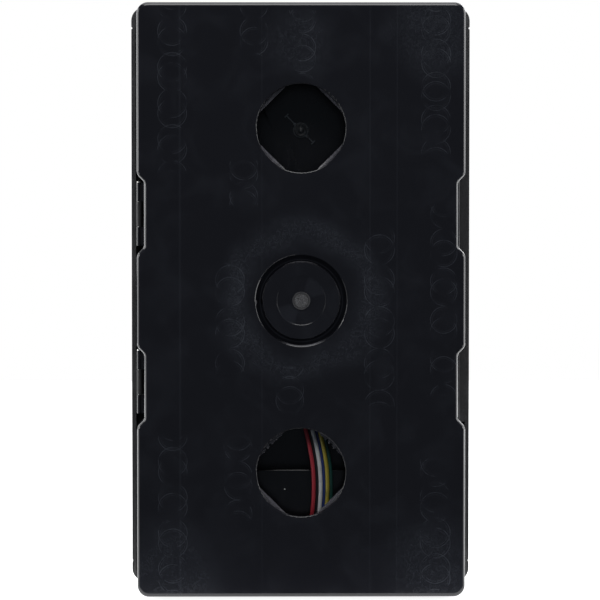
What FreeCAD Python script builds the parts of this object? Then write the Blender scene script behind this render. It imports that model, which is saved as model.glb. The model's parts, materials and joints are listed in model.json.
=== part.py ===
import FreeCAD, Part
import math
import os

Vector = FreeCAD.Vector

# ---------------------------------------------------------------------------
# Frame, in millimetres: +Z is up, -Y is the lit front, +X is to the right as
# seen from the front.  The origin is the centre of the housing's rear face.
# ---------------------------------------------------------------------------

# Rear housing
HOUSING_WIDTH = 286.0
HOUSING_HEIGHT = 518.0
HOUSING_DEPTH = 70.0
HOUSING_WALL = 3.0
HOUSING_DRAFT_DEG = 1.5
HOUSING_CORNER = 10.0
REAR_EDGE_ROUND = 3.5
MOUTH_HALF_WIDTH = 133.4
RIM_FLANGE = 3.0
RIB_THICK = 2.0
RIB_TALL = 3.5

# Cable and bracket ports, and the closed knock-out between them
PORT_PITCH = 300.0
PORT_RADIUS = 38.5
PORT_EDGE_ROUND = 1.2
PORT_WALL_END = -5.5
PORT_COLLAR_END = -8.0
PORT_COLLAR_WALL = 4.0
PORT_UNDERCUT = 1.0
LUG_CHORD = 35.2
KNOCKOUT_RADIUS = 40.5
KNOCKOUT_DISC_RADIUS = 33.3
KNOCKOUT_STEP_RADIUS = 35.8
KNOCKOUT_GROOVE = 2.0
KNOCKOUT_CHAMFER = 0.45
DIMPLE_RADIUS = 21.75
DIMPLE_DEPTH = 0.9
GATE_RADIUS = 7.8

# Side pockets and the hinges in them
POCKET_PITCH = 150.0
POCKET_FLOOR_X = 136.7
POCKET_HALF_LENGTH = 28.5
POCKET_INNER_ROUND = 5.0
POCKET_OUTER_ROUND = 7.0
POCKET_MOUTH_MIN_DEPTH = 4.0
POCKET_MOUTH_SPREAD = 12.0
RIM_BRIDGE_X = 142.4
RIM_BRIDGE_ROUND = 1.2
RIM_BRIDGE_HALF_LENGTH = 34.5
DOOR_LEDGE_X = 142.7
DOOR_LEDGE_THICK = 5.7
DOOR_LEDGE_HALF_LENGTH = 36.0
HINGE_X = 144.1
HINGE_Y = -66.0
KNUCKLE_RADIUS = 2.4
KNUCKLE_SPLIT = 11.0
PIN_RADIUS = 1.3
PIN_CLEARANCE = 0.05
WEB_HALF_THICK = 1.5

# Door
DOOR_HALF_WIDTH = 151.0
DOOR_HEIGHT = 514.2
DOOR_RISE = 2.4
DOOR_REAR_Y = -70.3
DOOR_FRONT_Y = -100.0
DOOR_SIDE_WALL = 3.8
DOOR_PLATE = 3.0
DOOR_CORNER = 12.0
DOOR_EDGE_ROUND = 4.0
DOOR_NOTCH_INSET = 18.6
SEAL_RIB_OUTER_X = 133.7
SEAL_RIB_WIDTH = 6.4
SEAL_RIB_REAR_Y = -72.0
SEAL_GROOVE_WIDTH = 3.6
SEAL_GROOVE_FLOOR_Y = -76.3
SEAL_LIP_Y = -67.3

# Optical units, one above the other on the door
LENS_PITCH = 294.0
WINDOW_RADIUS = 95.0
LENS_RADIUS = 97.5
LENS_DOME_SAG = 9.0
LENS_THICK = 2.5
MASK_RADIUS = 89.0
CUP_FLANGE_RADIUS = 98.5
CUP_REAR_RADIUS = 80.0
CUP_REAR_Y = -46.0
CUP_WALL = 2.5
BOARD_RADIUS = 83.0
BOARD_FRONT_Y = -67.6
BOARD_THICK = 1.6
BOARD_REAR_Y = BOARD_FRONT_Y + BOARD_THICK
LED_RADIUS = 2.5
LED_TALL = 5.2
LED_SPACING = 21.0
CLIP_POST_OFFSET = 76.5
CLIP_POST_RADIUS = 5.0

# Visors
VISOR_INNER_RADIUS = 97.5
VISOR_WALL = 2.5
VISOR_FLANGE_RADIUS = 107.0
VISOR_FLANGE = 3.0
VISOR_FRONT_Y = -250.0
VISOR_SCREW_CIRCLE = 103.4

# Quarter-turn latches
LATCH_X = -118.0
SHAFT_RADIUS = 5.0
SHAFT_CLEARANCE = 0.05
CAM_NOSE_RADIUS = 3.5
CAM_SCREW_RADIUS = 1.75
KNOB_RADIUS = 12.0
CAM_FRONT_Y = -61.9
CAM_THICK = 3.0
CAM_REACH = 14.0
CAM_HALF_WIDTH = 5.5
KEEPER_INNER_X = -125.5

# Driver case and terminal block
CASE_HALF_WIDTH = 58.0
CASE_TOP_Z = -150.3
CASE_BOTTOM_Z = -196.0
CASE_FRONT_Y = -45.7
LID_FRONT_Y = -28.0
LID_REAR_Y = -26.0
CASE_WALL = 2.0
STATUS_LIGHT_X = 14.5
STATUS_LIGHT_Z = -167.0
STATUS_LIGHT_RADIUS = 1.5
TERMINAL_X = -16.0
TERMINAL_PITCH = 5.2
TERMINAL_TOP_Z = -216.0
TERMINAL_BOTTOM_Z = -232.0
TERMINAL_REAR_Y = -26.0
TERMINAL_CLEARANCE = 0.35
TERMINAL_WELL = 4.0
WIRE_ENTRY_Y = -31.0

# Loom
WIRE_DIAMETER = 3.5
WIRE_PITCH = 3.02
LAYER_STEP = -2.4
GLAND_PITCH = 4.4
GLAND_RADIUS = 8.0
GLAND_REAR_Y = -41.0
GLAND_CLEARANCE = 0.1
GLAND_PLACES = {"upper": (1.5, 89.0), "lower": (-14.0, -85.0)}
GLAND_TURN_Y = -29.5
WIRE_COLOURS = ("red", "black", "white", "blue", "yellow", "green")

ASPECTS = {"upper": 1, "lower": -1}
POCKET_CENTRES = (POCKET_PITCH / 2, -POCKET_PITCH / 2)
DOOR_TOP_Z = DOOR_RISE + DOOR_HEIGHT / 2
DOOR_BOTTOM_Z = DOOR_RISE - DOOR_HEIGHT / 2
DOOR_PLATE_REAR_Y = DOOR_FRONT_Y + DOOR_PLATE
LENS_FRONT_Y = DOOR_PLATE_REAR_Y + 2.0
CUP_FRONT_Y = LENS_FRONT_Y + LENS_THICK
CUP_FLANGE_REAR_Y = CUP_FRONT_Y + 3.0


def box(x_low, x_high, y_low, y_high, z_low, z_high):
    """A block between two corners."""
    return Part.makeBox(x_high - x_low, y_high - y_low, z_high - z_low, Vector(x_low, y_low, z_low))


def rod(radius, y_low, y_high, x, z):
    """A cylinder along Y."""
    return Part.makeCylinder(radius, y_high - y_low, Vector(x, y_low, z), Vector(0, 1, 0))


def ring(outer, inner, y_low, y_high, x, z):
    """A washer along Y."""
    return rod(outer, y_low, y_high, x, z).cut(rod(inner, y_low - 1, y_high + 1, x, z))


def post(radius, z_low, z_high, x, y):
    """A cylinder along Z."""
    return Part.makeCylinder(radius, z_high - z_low, Vector(x, y, z_low), Vector(0, 0, 1))


def outline(half_x, z_low, z_high, corner, y):
    """A closed rounded rectangle in a plane of constant Y."""
    diagonal = corner * (1 - math.sqrt(0.5))
    edges = []
    for sign_x, sign_z in ((1, 1), (-1, 1), (-1, -1), (1, -1)):
        z_end = z_high if sign_z > 0 else z_low
        on_side = Vector(sign_x * half_x, y, z_end - sign_z * corner)
        on_end = Vector(sign_x * (half_x - corner), y, z_end)
        middle = Vector(sign_x * (half_x - diagonal), y, z_end - sign_z * diagonal)
        first, last = (on_side, on_end) if sign_x == sign_z else (on_end, on_side)
        edges.append((first, middle, last))
    closed = []
    for index, (first, middle, last) in enumerate(edges):
        closed.append(Part.Arc(first, middle, last).toShape())
        closed.append(Part.LineSegment(last, edges[(index + 1) % 4][0]).toShape())
    return Part.Wire(closed)


def slab(half_x, z_low, z_high, corner, y_low, y_high):
    """A rounded rectangular plate."""
    return Part.Face(outline(half_x, z_low, z_high, corner, y_low)).extrude(Vector(0, y_high - y_low, 0))


def frame_ring(outer_x, z_low, z_high, width, corner, y_low, y_high):
    """A rounded rectangular ring of even width."""
    outer = slab(outer_x, z_low, z_high, corner, y_low, y_high)
    inner = slab(outer_x - width, z_low + width, z_high - width, corner - width + 1, y_low - 1, y_high + 1)
    return outer.cut(inner)


def turned(profile, x, z):
    """A solid of revolution about Y from (radius, y) points."""
    points = [Vector(radius, y, 0) for radius, y in profile]
    face = Part.Face(Part.makePolygon(points + points[:1]))
    solid = face.revolve(Vector(0, 0, 0), Vector(0, 1, 0), 360)
    solid.translate(Vector(x, 0, z))
    return solid


def fuse(shapes):
    """One solid from touching or overlapping ones."""
    shapes = list(shapes)
    return shapes[0].multiFuse(shapes[1:]).removeSplitter() if len(shapes) > 1 else shapes[0]


def cut(solid, tools):
    """A solid with every tool taken away."""
    return solid.cut(list(tools))


def group(solids):
    """Identical separate pieces kept in one node."""
    return Part.makeCompound(list(solids))


def lens_centre_z(side):
    """Height of the optical axis of the upper or lower unit."""
    return DOOR_RISE + side * LENS_PITCH / 2


def slotted_screw(x, z, head_y, head_radius, head_tall, shank_radius, shank_long, facing):
    """A screw along Y whose slotted head rises towards facing (+1 rear, -1 front)."""
    tip_y = head_y - facing * shank_long
    top_y = head_y + facing * head_tall
    head = rod(head_radius, min(head_y, top_y), max(head_y, top_y), x, z)
    shank = rod(shank_radius, min(head_y, tip_y), max(head_y, tip_y), x, z)
    floor_y = top_y - facing * head_tall * 0.4
    slot = box(x - head_radius, x + head_radius, min(floor_y, top_y), max(floor_y, top_y), z - 0.4, z + 0.4)
    return head.fuse(shank).cut(slot)


# --------------------------------------------------------------------------- housing

def draft_gain(y):
    """How far the drafted side walls stand out at depth y."""
    return -y * math.tan(math.radians(HOUSING_DRAFT_DEG))


def drafted_block(inset, y_rear, y_front):
    """The housing's tapering block, shrunk all round by inset."""
    sections = []
    for y in (y_rear, y_front):
        gain = draft_gain(y) - inset
        half_z = HOUSING_HEIGHT / 2 + gain
        sections.append(outline(HOUSING_WIDTH / 2 + gain, -half_z, half_z, HOUSING_CORNER + gain, y))
    return Part.makeLoft(sections, True, True)


def pocket_prism(side_x, centre_z, thicken):
    """A side pocket's trough with 45 degree ends, grown by thicken to make its liner."""
    slope_gain = thicken * (math.sqrt(2) - 1)
    floor_x = POCKET_FLOOR_X - thicken
    half = POCKET_HALF_LENGTH + slope_gain
    mouth_x = HOUSING_WIDTH / 2 + 8
    spread = half + mouth_x - floor_x
    corners = ((floor_x, -half), (floor_x, half), (mouth_x, spread), (mouth_x, -spread))
    points = [Vector(side_x * x, 1, centre_z + z) for x, z in corners]
    face = Part.Face(Part.makePolygon(points + points[:1]))
    prism = face.extrude(Vector(0, -HOUSING_DEPTH - 2, 0))
    floor_edges = [edge for edge in prism.Edges
                   if abs(edge.BoundBox.YLength - HOUSING_DEPTH - 2) < 0.1
                   and abs(abs(edge.CenterOfMass.x) - floor_x) < 0.1]
    return prism.makeFillet(POCKET_INNER_ROUND, floor_edges)


def port_lug(port_z, angle_deg):
    """The crescent that a knock-out leaves inside its port."""
    outer = rod(PORT_RADIUS + PORT_UNDERCUT + 0.5, PORT_COLLAR_END, PORT_WALL_END, 0, port_z)
    keep = box(LUG_CHORD, PORT_RADIUS + 9, PORT_COLLAR_END, PORT_WALL_END, port_z - 30, port_z + 30)
    keep.rotate(Vector(0, 0, port_z), Vector(0, 1, 0), angle_deg)
    return outer.common(keep)


def torn_edge_cuts(port_z):
    """Nicks left on the two upper crescents of the lower port."""
    nicks = []
    for angle_deg in (-34, -41, -52, -129, -137, -146):
        angle = math.radians(angle_deg)
        reach = LUG_CHORD / math.cos(math.radians(abs(angle_deg) % 90 - 45)) + 0.6
        nicks.append(rod(1.3, PORT_COLLAR_END - 1, PORT_WALL_END + 1, reach * math.cos(angle),
                         port_z - reach * math.sin(angle)))
    return nicks


def centre_knockout_cuts():
    """The groove, step and dimple of the knock-out that stays closed."""
    ridge = KNOCKOUT_STEP_RADIUS
    groove = turned([(KNOCKOUT_DISC_RADIUS, 1), (KNOCKOUT_DISC_RADIUS, 0),
                     (KNOCKOUT_DISC_RADIUS + KNOCKOUT_CHAMFER, -KNOCKOUT_CHAMFER),
                     (KNOCKOUT_DISC_RADIUS + 1.3, -KNOCKOUT_GROOVE), (ridge - 0.1, -0.5), (ridge + 0.2, -0.5),
                     (ridge + 2.0, -KNOCKOUT_GROOVE), (KNOCKOUT_RADIUS - KNOCKOUT_CHAMFER, -KNOCKOUT_CHAMFER),
                     (KNOCKOUT_RADIUS, 0), (KNOCKOUT_RADIUS, 1)], 0, 0)
    dimple = turned([(GATE_RADIUS, 1), (GATE_RADIUS, -DIMPLE_DEPTH), (DIMPLE_RADIUS - 0.6, -0.45),
                     (DIMPLE_RADIUS, 0), (DIMPLE_RADIUS, 1)], 0, 0)
    return [groove, dimple]


def hinge_bar(centre_z, z_low, z_high):
    """A stretch of barrel standing on a web from a hinge-side pocket's floor."""
    barrel = post(KNUCKLE_RADIUS, centre_z + z_low, centre_z + z_high, HINGE_X, HINGE_Y)
    web = box(POCKET_FLOOR_X - 0.6, HINGE_X, HINGE_Y - WEB_HALF_THICK, HINGE_Y + WEB_HALF_THICK,
              centre_z + z_low, centre_z + z_high)
    return [barrel, web]


def rim_bridge(centre_z):
    """The rim's narrow run across a latch-side pocket."""
    bridge = box(-RIM_BRIDGE_X, -POCKET_FLOOR_X + 0.6, -HOUSING_DEPTH, -HOUSING_DEPTH + RIM_FLANGE + 0.6,
                 centre_z - RIM_BRIDGE_HALF_LENGTH, centre_z + RIM_BRIDGE_HALF_LENGTH)
    outer_edges = [edge for edge in bridge.Edges if abs(edge.CenterOfMass.x + RIM_BRIDGE_X) < 0.01
                   and abs(edge.CenterOfMass.z - centre_z) < 0.01]
    return bridge.makeFillet(RIM_BRIDGE_ROUND, outer_edges)


def rounded_block():
    """The drafted block with its four pockets and its outline's edges rounded."""
    block = cut(drafted_block(0, 0, -HOUSING_DEPTH),
                [pocket_prism(side, z, 0) for side in (1, -1) for z in POCKET_CENTRES])
    pocket_edges = [edge for edge in block.Edges
                    if edge.BoundBox.YLength > HOUSING_DEPTH - 1
                    and abs(edge.CenterOfMass.x) > POCKET_FLOOR_X + POCKET_MOUTH_MIN_DEPTH
                    and abs(abs(edge.CenterOfMass.z) - POCKET_PITCH / 2) < POCKET_HALF_LENGTH + POCKET_MOUTH_SPREAD]
    block = block.makeFillet(POCKET_OUTER_ROUND, pocket_edges)
    rear_edges = [edge for edge in block.Edges if abs(edge.BoundBox.YMax) < 0.01 and edge.BoundBox.YLength < 0.01]
    return block.makeFillet(REAR_EDGE_ROUND, rear_edges)


def rear_housing():
    """Drafted tray with two open ports, a closed knock-out, four pockets and hinge knuckles."""
    liners = [pocket_prism(side, z, HOUSING_WALL) for side in (1, -1) for z in POCKET_CENTRES]
    flange_y = -HOUSING_DEPTH + RIM_FLANGE
    cavity = drafted_block(HOUSING_WALL, -HOUSING_WALL, flange_y).cut(liners)
    mouth = slab(MOUTH_HALF_WIDTH, DOOR_BOTTOM_Z + DOOR_SIDE_WALL + 0.6, DOOR_TOP_Z - DOOR_SIDE_WALL - 0.6, 8.0,
                 -HOUSING_DEPTH - 1, flange_y + 0.01)
    shell = cut(rounded_block(), [cavity, mouth])

    inner_face = -HOUSING_WALL
    additions = []
    for x in (-105.5, 105.5):
        additions.append(box(x - RIB_THICK / 2, x + RIB_THICK / 2, inner_face - RIB_TALL, inner_face + 0.5,
                             -250, 250))
    for x in (-60.0, 60.0):
        additions.append(box(x - RIB_THICK / 2, x + RIB_THICK / 2, inner_face - RIB_TALL, inner_face + 0.5,
                             -100, 100))
    for port_z in (PORT_PITCH / 2, -PORT_PITCH / 2):
        additions.append(rod(PORT_RADIUS + PORT_COLLAR_WALL, PORT_COLLAR_END, inner_face + 0.5, 0, port_z))
    for z in POCKET_CENTRES:
        additions += hinge_bar(z, -28.0, -KNUCKLE_SPLIT - 0.3)
        additions += hinge_bar(z, KNUCKLE_SPLIT + 0.3, 28.0)
        additions.append(rim_bridge(z))
        keeper_outer = -POCKET_FLOOR_X + HOUSING_WALL - 0.5
        additions.append(box(keeper_outer, KEEPER_INNER_X, -66.5, CAM_FRONT_Y - 0.4, z - 13, z + 13))
    shell = fuse([shell] + additions)

    openings = []
    for port_z in (PORT_PITCH / 2, -PORT_PITCH / 2):
        openings.append(rod(PORT_RADIUS, PORT_COLLAR_END - 1, 1, 0, port_z))
        openings.append(rod(PORT_RADIUS + PORT_UNDERCUT, PORT_COLLAR_END - 1, PORT_WALL_END, 0, port_z))
    for z in POCKET_CENTRES:
        openings.append(post(PIN_RADIUS, z - 27.0, z + 29.0, HINGE_X, HINGE_Y))
    shell = cut(shell, openings)
    port_rims = [edge for edge in shell.Edges
                 if abs(edge.BoundBox.YMax) < 0.01 and edge.BoundBox.YLength < 0.01
                 and isinstance(edge.Curve, Part.Circle) and abs(edge.Curve.Radius - PORT_RADIUS) < 0.01]
    shell = shell.makeFillet(PORT_EDGE_ROUND, port_rims)
    lugs = [port_lug(port_z, angle) for port_z in (PORT_PITCH / 2, -PORT_PITCH / 2) for angle in (45, 135, 225, 315)]
    shell = fuse([shell] + lugs)
    return cut(shell, torn_edge_cuts(-PORT_PITCH / 2) + centre_knockout_cuts())


def hinge_pin(centre_z):
    """Headed pin through the three knuckles of one hinge."""
    shank = post(PIN_RADIUS, centre_z - 26.8, centre_z + 28.0, HINGE_X, HINGE_Y)
    head = post(KNUCKLE_RADIUS - 0.4, centre_z + 28.0, centre_z + 29.2, HINGE_X, HINGE_Y)
    return shank.fuse(head).removeSplitter()


# --------------------------------------------------------------------------- door

def seal_ring(inset, width, y_low, y_high):
    """A ring that follows the door's seal rib."""
    return frame_ring(SEAL_RIB_OUTER_X - inset, DOOR_BOTTOM_Z + DOOR_SIDE_WALL + inset,
                      DOOR_TOP_Z - DOOR_SIDE_WALL - inset, width, 12.0 - inset, y_low, y_high)


def clip_places(side):
    """The four diagonal fixing points round one optical unit."""
    centre = lens_centre_z(side)
    for sign_x in (1, -1):
        for sign_z in (1, -1):
            yield sign_x * CLIP_POST_OFFSET, centre + sign_z * CLIP_POST_OFFSET, sign_x, sign_z


def front_door():
    """Shallow door with two windows, a seal rib, clip posts, latch bosses and hinge knuckles."""
    door = slab(DOOR_HALF_WIDTH, DOOR_BOTTOM_Z, DOOR_TOP_Z, DOOR_CORNER, DOOR_FRONT_Y, DOOR_REAR_Y)
    front_edges = [edge for edge in door.Edges
                   if abs(edge.BoundBox.YMin - DOOR_FRONT_Y) < 0.01 and edge.BoundBox.YLength < 0.01]
    door = door.makeFillet(DOOR_EDGE_ROUND, front_edges)
    door = door.cut(slab(DOOR_HALF_WIDTH - DOOR_SIDE_WALL, DOOR_BOTTOM_Z + DOOR_SIDE_WALL,
                         DOOR_TOP_Z - DOOR_SIDE_WALL, DOOR_CORNER - DOOR_SIDE_WALL, DOOR_PLATE_REAR_Y,
                         DOOR_REAR_Y + 1))
    additions = [frame_ring(SEAL_RIB_OUTER_X, DOOR_BOTTOM_Z + DOOR_SIDE_WALL - 0.3,
                            DOOR_TOP_Z - DOOR_SIDE_WALL + 0.3, SEAL_RIB_WIDTH + 0.3, 12.0,
                            DOOR_PLATE_REAR_Y - 0.5, SEAL_RIB_REAR_Y)]
    for side in ASPECTS.values():
        for x, z, _, _ in clip_places(side):
            additions.append(rod(CLIP_POST_RADIUS, DOOR_PLATE_REAR_Y - 0.5, CUP_FLANGE_REAR_Y, x, z))
    for z in POCKET_CENTRES:
        additions.append(rod(9.0, DOOR_PLATE_REAR_Y - 0.5, -84.0, LATCH_X, z))
        additions.append(box(-DOOR_HALF_WIDTH + 1.5, -DOOR_LEDGE_X, DOOR_REAR_Y - DOOR_LEDGE_THICK, DOOR_REAR_Y,
                             z - DOOR_LEDGE_HALF_LENGTH, z + DOOR_LEDGE_HALF_LENGTH))
        additions.append(box(138.0, DOOR_HALF_WIDTH - 1.5, DOOR_PLATE_REAR_Y - 0.5, DOOR_REAR_Y,
                             z - KNUCKLE_SPLIT, z + KNUCKLE_SPLIT))
        additions.append(box(HINGE_X - KNUCKLE_RADIUS, HINGE_X + KNUCKLE_RADIUS, DOOR_REAR_Y - 1, HINGE_Y,
                             z - KNUCKLE_SPLIT, z + KNUCKLE_SPLIT))
        additions.append(post(KNUCKLE_RADIUS, z - KNUCKLE_SPLIT, z + KNUCKLE_SPLIT, HINGE_X, HINGE_Y))
    door = fuse([door] + additions)

    cuts = [seal_ring(1.4, SEAL_GROOVE_WIDTH, SEAL_GROOVE_FLOOR_Y, SEAL_RIB_REAR_Y + 1)]
    for side in ASPECTS.values():
        centre = lens_centre_z(side)
        cuts.append(rod(WINDOW_RADIUS, DOOR_FRONT_Y - 1, DOOR_PLATE_REAR_Y + 1, 0, centre))
        for x, z, _, _ in clip_places(side):
            cuts.append(rod(1.6, CUP_FLANGE_REAR_Y - 6.0, CUP_FLANGE_REAR_Y + 1, x, z))
        for x, z in visor_screw_places(centre):
            cuts.append(rod(1.5, DOOR_FRONT_Y - 1, DOOR_PLATE_REAR_Y + 1, x, z))
    for z in POCKET_CENTRES:
        cuts.append(rod(SHAFT_RADIUS + SHAFT_CLEARANCE, DOOR_FRONT_Y - 1, -83.0, LATCH_X, z))
        cuts.append(rod(8.2, DOOR_FRONT_Y - 1, DOOR_FRONT_Y + 1.2, LATCH_X, z))
        cuts.append(post(PIN_RADIUS + PIN_CLEARANCE, z - 20, z + 20, HINGE_X, HINGE_Y))
    for sign_x in (1, -1):
        for notch_z in (DOOR_TOP_Z - DOOR_NOTCH_INSET, DOOR_BOTTOM_Z + DOOR_NOTCH_INSET):
            cuts.append(edge_notch(sign_x, notch_z))
    return cut(door, cuts)


def edge_notch(sign_x, z):
    """A shallow V across one side of the door."""
    notch = box(-1.0, 1.0, DOOR_FRONT_Y - 1, DOOR_REAR_Y + 1, -1.0, 1.0)
    notch.rotate(Vector(0, 0, 0), Vector(0, 1, 0), 45)
    notch.translate(Vector(sign_x * (DOOR_HALF_WIDTH + 0.2), 0, z))
    return notch


def door_seal():
    """Rubber lip in the door's groove that plugs the housing's mouth."""
    return seal_ring(1.5, SEAL_GROOVE_WIDTH - 0.2, SEAL_GROOVE_FLOOR_Y, SEAL_LIP_Y)


# --------------------------------------------------------------------------- optical units

def visor_screw_places(centre_z):
    """Four screws on the visor flange's diagonals."""
    reach = VISOR_SCREW_CIRCLE * math.sqrt(0.5)
    return [(sign_x * reach, centre_z + sign_z * reach) for sign_x in (1, -1) for sign_z in (1, -1)]


def visor(side):
    """Cut-away hood on a screwed flange."""
    centre = lens_centre_z(side)
    outer_radius = VISOR_INNER_RADIUS + VISOR_WALL
    hood = ring(outer_radius, VISOR_INNER_RADIUS, VISOR_FRONT_Y, DOOR_FRONT_Y, 0, centre)
    bottom = -outer_radius - 1
    lip_y = DOOR_FRONT_Y - VISOR_FLANGE - 9.0
    slope = [(lip_y, bottom), (lip_y, -82.0), (VISOR_FRONT_Y + 28, 8.0), (VISOR_FRONT_Y - 1, 34.0),
             (VISOR_FRONT_Y - 1, bottom)]
    points = [Vector(-outer_radius - 1, y, centre + z) for y, z in slope]
    below = Part.Face(Part.makePolygon(points + points[:1])).extrude(Vector(2 * outer_radius + 2, 0, 0))
    flange = ring(VISOR_FLANGE_RADIUS, VISOR_INNER_RADIUS, DOOR_FRONT_Y - VISOR_FLANGE, DOOR_FRONT_Y, 0, centre)
    body = fuse([hood.cut(below), flange])
    return cut(body, [rod(1.8, DOOR_FRONT_Y - VISOR_FLANGE - 1, DOOR_FRONT_Y + 1, x, z)
                      for x, z in visor_screw_places(centre)])


def visor_screws(side):
    """Four screws through one visor flange into the door."""
    head_y = DOOR_FRONT_Y - VISOR_FLANGE
    return group(slotted_screw(x, z, head_y, 2.9, 1.8, 1.5, 5.5, -1) for x, z in
                 visor_screw_places(lens_centre_z(side)))


def lens_gasket(side):
    """Flat rubber ring between the door plate and the lens."""
    return ring(CUP_FLANGE_RADIUS, WINDOW_RADIUS + 0.5, DOOR_PLATE_REAR_Y, LENS_FRONT_Y, 0, lens_centre_z(side))


def lens(side):
    """Clear dome with a flat rim."""
    rim_inner = WINDOW_RADIUS - 0.6

    def dome_arc(radius, rim_y, apex_y):
        sag = rim_y - apex_y
        sphere = (radius * radius + sag * sag) / (2 * sag)
        middle_x = radius * 0.5
        middle_y = apex_y + sphere - math.sqrt(sphere * sphere - middle_x * middle_x)
        return Part.Arc(Vector(radius, rim_y, 0), Vector(middle_x, middle_y, 0), Vector(0, apex_y, 0)).toShape()

    rear_y = CUP_FRONT_Y
    front_apex = LENS_FRONT_Y - LENS_DOME_SAG
    rear_apex = front_apex + LENS_THICK
    rear_rim = rim_inner - LENS_THICK
    corners = [Vector(0, rear_apex, 0), Vector(0, front_apex, 0)]
    rim = [Vector(rear_rim, rear_y, 0), Vector(LENS_RADIUS, rear_y, 0), Vector(LENS_RADIUS, LENS_FRONT_Y, 0),
           Vector(rim_inner, LENS_FRONT_Y, 0)]
    edges = [Part.LineSegment(corners[1], corners[0]).toShape(), dome_arc(rear_rim, rear_y, rear_apex)]
    edges += [Part.LineSegment(a, b).toShape() for a, b in zip(rim, rim[1:])]
    edges.append(dome_arc(rim_inner, LENS_FRONT_Y, front_apex))
    face = Part.Face(Part.Wire(Part.__sortEdges__(edges)))
    solid = face.revolve(Vector(0, 0, 0), Vector(0, 1, 0), 360)
    solid.translate(Vector(0, 0, lens_centre_z(side)))
    return solid


def limb(start, end, radius, y_low, y_high, centre_z):
    """One round-ended stroke of a walking or standing figure."""
    (x0, z0), (x1, z1) = start, end
    length = math.hypot(x1 - x0, z1 - z0)
    bar = box(0, length, y_low, y_high, -radius, radius)
    bar.rotate(Vector(0, 0, 0), Vector(0, 1, 0), -math.degrees(math.atan2(z1 - z0, x1 - x0)))
    bar.translate(Vector(x0, 0, centre_z + z0))
    ends = [rod(radius, y_low, y_high, x, centre_z + z) for x, z in (start, end)]
    return fuse([bar] + ends)


STANDING_FIGURE = [((0, 52), (0, 52.1), 11), ((-10, 27), (10, 27), 8), ((-12, 27), (-12, 22), 8),
                   ((12, 27), (12, 22), 8), ((-19, 27), (-19, -8), 4.5), ((19, 27), (19, -8), 4.5),
                   ((-6, 22), (-6, -8), 8), ((6, 22), (6, -8), 8), ((-8, -8), (-8, -62), 6.2),
                   ((8, -8), (8, -62), 6.2)]
WALKING_FIGURE = [((4, 52), (4, 52.1), 11), ((2, 30), (-2, -4), 10), ((2, 32), (-20, 14), 4.6),
                  ((-20, 14), (-26, -4), 4.4), ((4, 32), (24, 12), 4.6), ((24, 12), (34, 2), 4.4),
                  ((-3, -4), (-16, -32), 6.6), ((-16, -32), (-34, -60), 6.0), ((1, -4), (18, -30), 6.6),
                  ((18, -30), (22, -62), 6.0)]
FIGURES = {"upper": STANDING_FIGURE, "lower": WALKING_FIGURE}


def symbol_mask(name):
    """Opaque disc with the pedestrian figure cut through it."""
    centre = lens_centre_z(ASPECTS[name])
    disc = rod(MASK_RADIUS, -85.0, -84.0, 0, centre)
    strokes = fuse(limb(start, end, radius, -86.0, -83.0, centre) for start, end, radius in FIGURES[name])
    return disc.cut(strokes)


def diffuser(side):
    """Ribbed spreading disc behind the mask."""
    centre = lens_centre_z(side)
    profile = [(0, -84.0), (MASK_RADIUS, -84.0), (MASK_RADIUS, -81.5)]
    steps = 11
    for index in range(steps):
        radius = MASK_RADIUS * (steps - index) / (steps + 0.5)
        profile += [(radius, -81.5), (radius - 0.1, -82.3)]
    profile += [(0, -82.3)]
    return turned(profile, 0, centre)


def led_places(side):
    """A hexagonal field of light sources."""
    centre = lens_centre_z(side)
    row_height = LED_SPACING * math.sqrt(3) / 2
    for row in range(-3, 4):
        shift = LED_SPACING / 2 if row % 2 else 0.0
        for column in range(-4, 5):
            x = column * LED_SPACING + shift
            z = row * row_height
            if math.hypot(x, z) < BOARD_RADIUS - 10:
                yield x, centre + z


def led_board(side):
    """Round circuit board on the cup's posts."""
    return rod(BOARD_RADIUS, BOARD_FRONT_Y, BOARD_FRONT_Y + BOARD_THICK, 0, lens_centre_z(side))


def leds(side):
    """Round-nosed light sources on one board."""
    parts = []
    for x, z in led_places(side):
        body = rod(LED_RADIUS, BOARD_FRONT_Y - LED_TALL + LED_RADIUS, BOARD_FRONT_Y, x, z)
        nose = Part.makeSphere(LED_RADIUS, Vector(x, BOARD_FRONT_Y - LED_TALL + LED_RADIUS, z))
        parts.append(body.fuse(nose).removeSplitter())
    return group(parts)


def module_cup(name):
    """Cup that closes an optical unit from behind."""
    side = ASPECTS[name]
    centre = lens_centre_z(side)
    shoulder_y = CUP_REAR_Y - 4.0
    cup = turned([(0, CUP_REAR_Y), (CUP_REAR_RADIUS, CUP_REAR_Y), (CUP_REAR_RADIUS + 4, shoulder_y),
                  (94.5, CUP_FLANGE_REAR_Y), (CUP_FLANGE_RADIUS, CUP_FLANGE_REAR_Y),
                  (CUP_FLANGE_RADIUS, CUP_FRONT_Y), (92.0, CUP_FRONT_Y), (92.0, CUP_FLANGE_REAR_Y),
                  (CUP_REAR_RADIUS + 4 - CUP_WALL, shoulder_y - 1), (CUP_REAR_RADIUS - CUP_WALL, CUP_REAR_Y - CUP_WALL),
                  (0, CUP_REAR_Y - CUP_WALL)], 0, centre)
    additions = []
    for turn in (90, 210, 330):
        angle = math.radians(turn)
        additions.append(rod(4.0, BOARD_REAR_Y, CUP_REAR_Y - CUP_WALL + 0.5,
                             60 * math.cos(angle), centre + 60 * math.sin(angle)))
    if name == "upper":
        for x in (24.0, 17.6, 7.4, 4.0):
            additions.append(box(x - 0.6, x + 0.6, CUP_REAR_Y - 0.5, CUP_REAR_Y + 2.2, centre - 40, centre - 12))
        additions.append(box(4.0, 30.0, CUP_REAR_Y - 0.5, CUP_REAR_Y + 1.4, centre - 41, centre - 40))
    return cut(fuse([cup] + additions), gland_holes(name))


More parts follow.
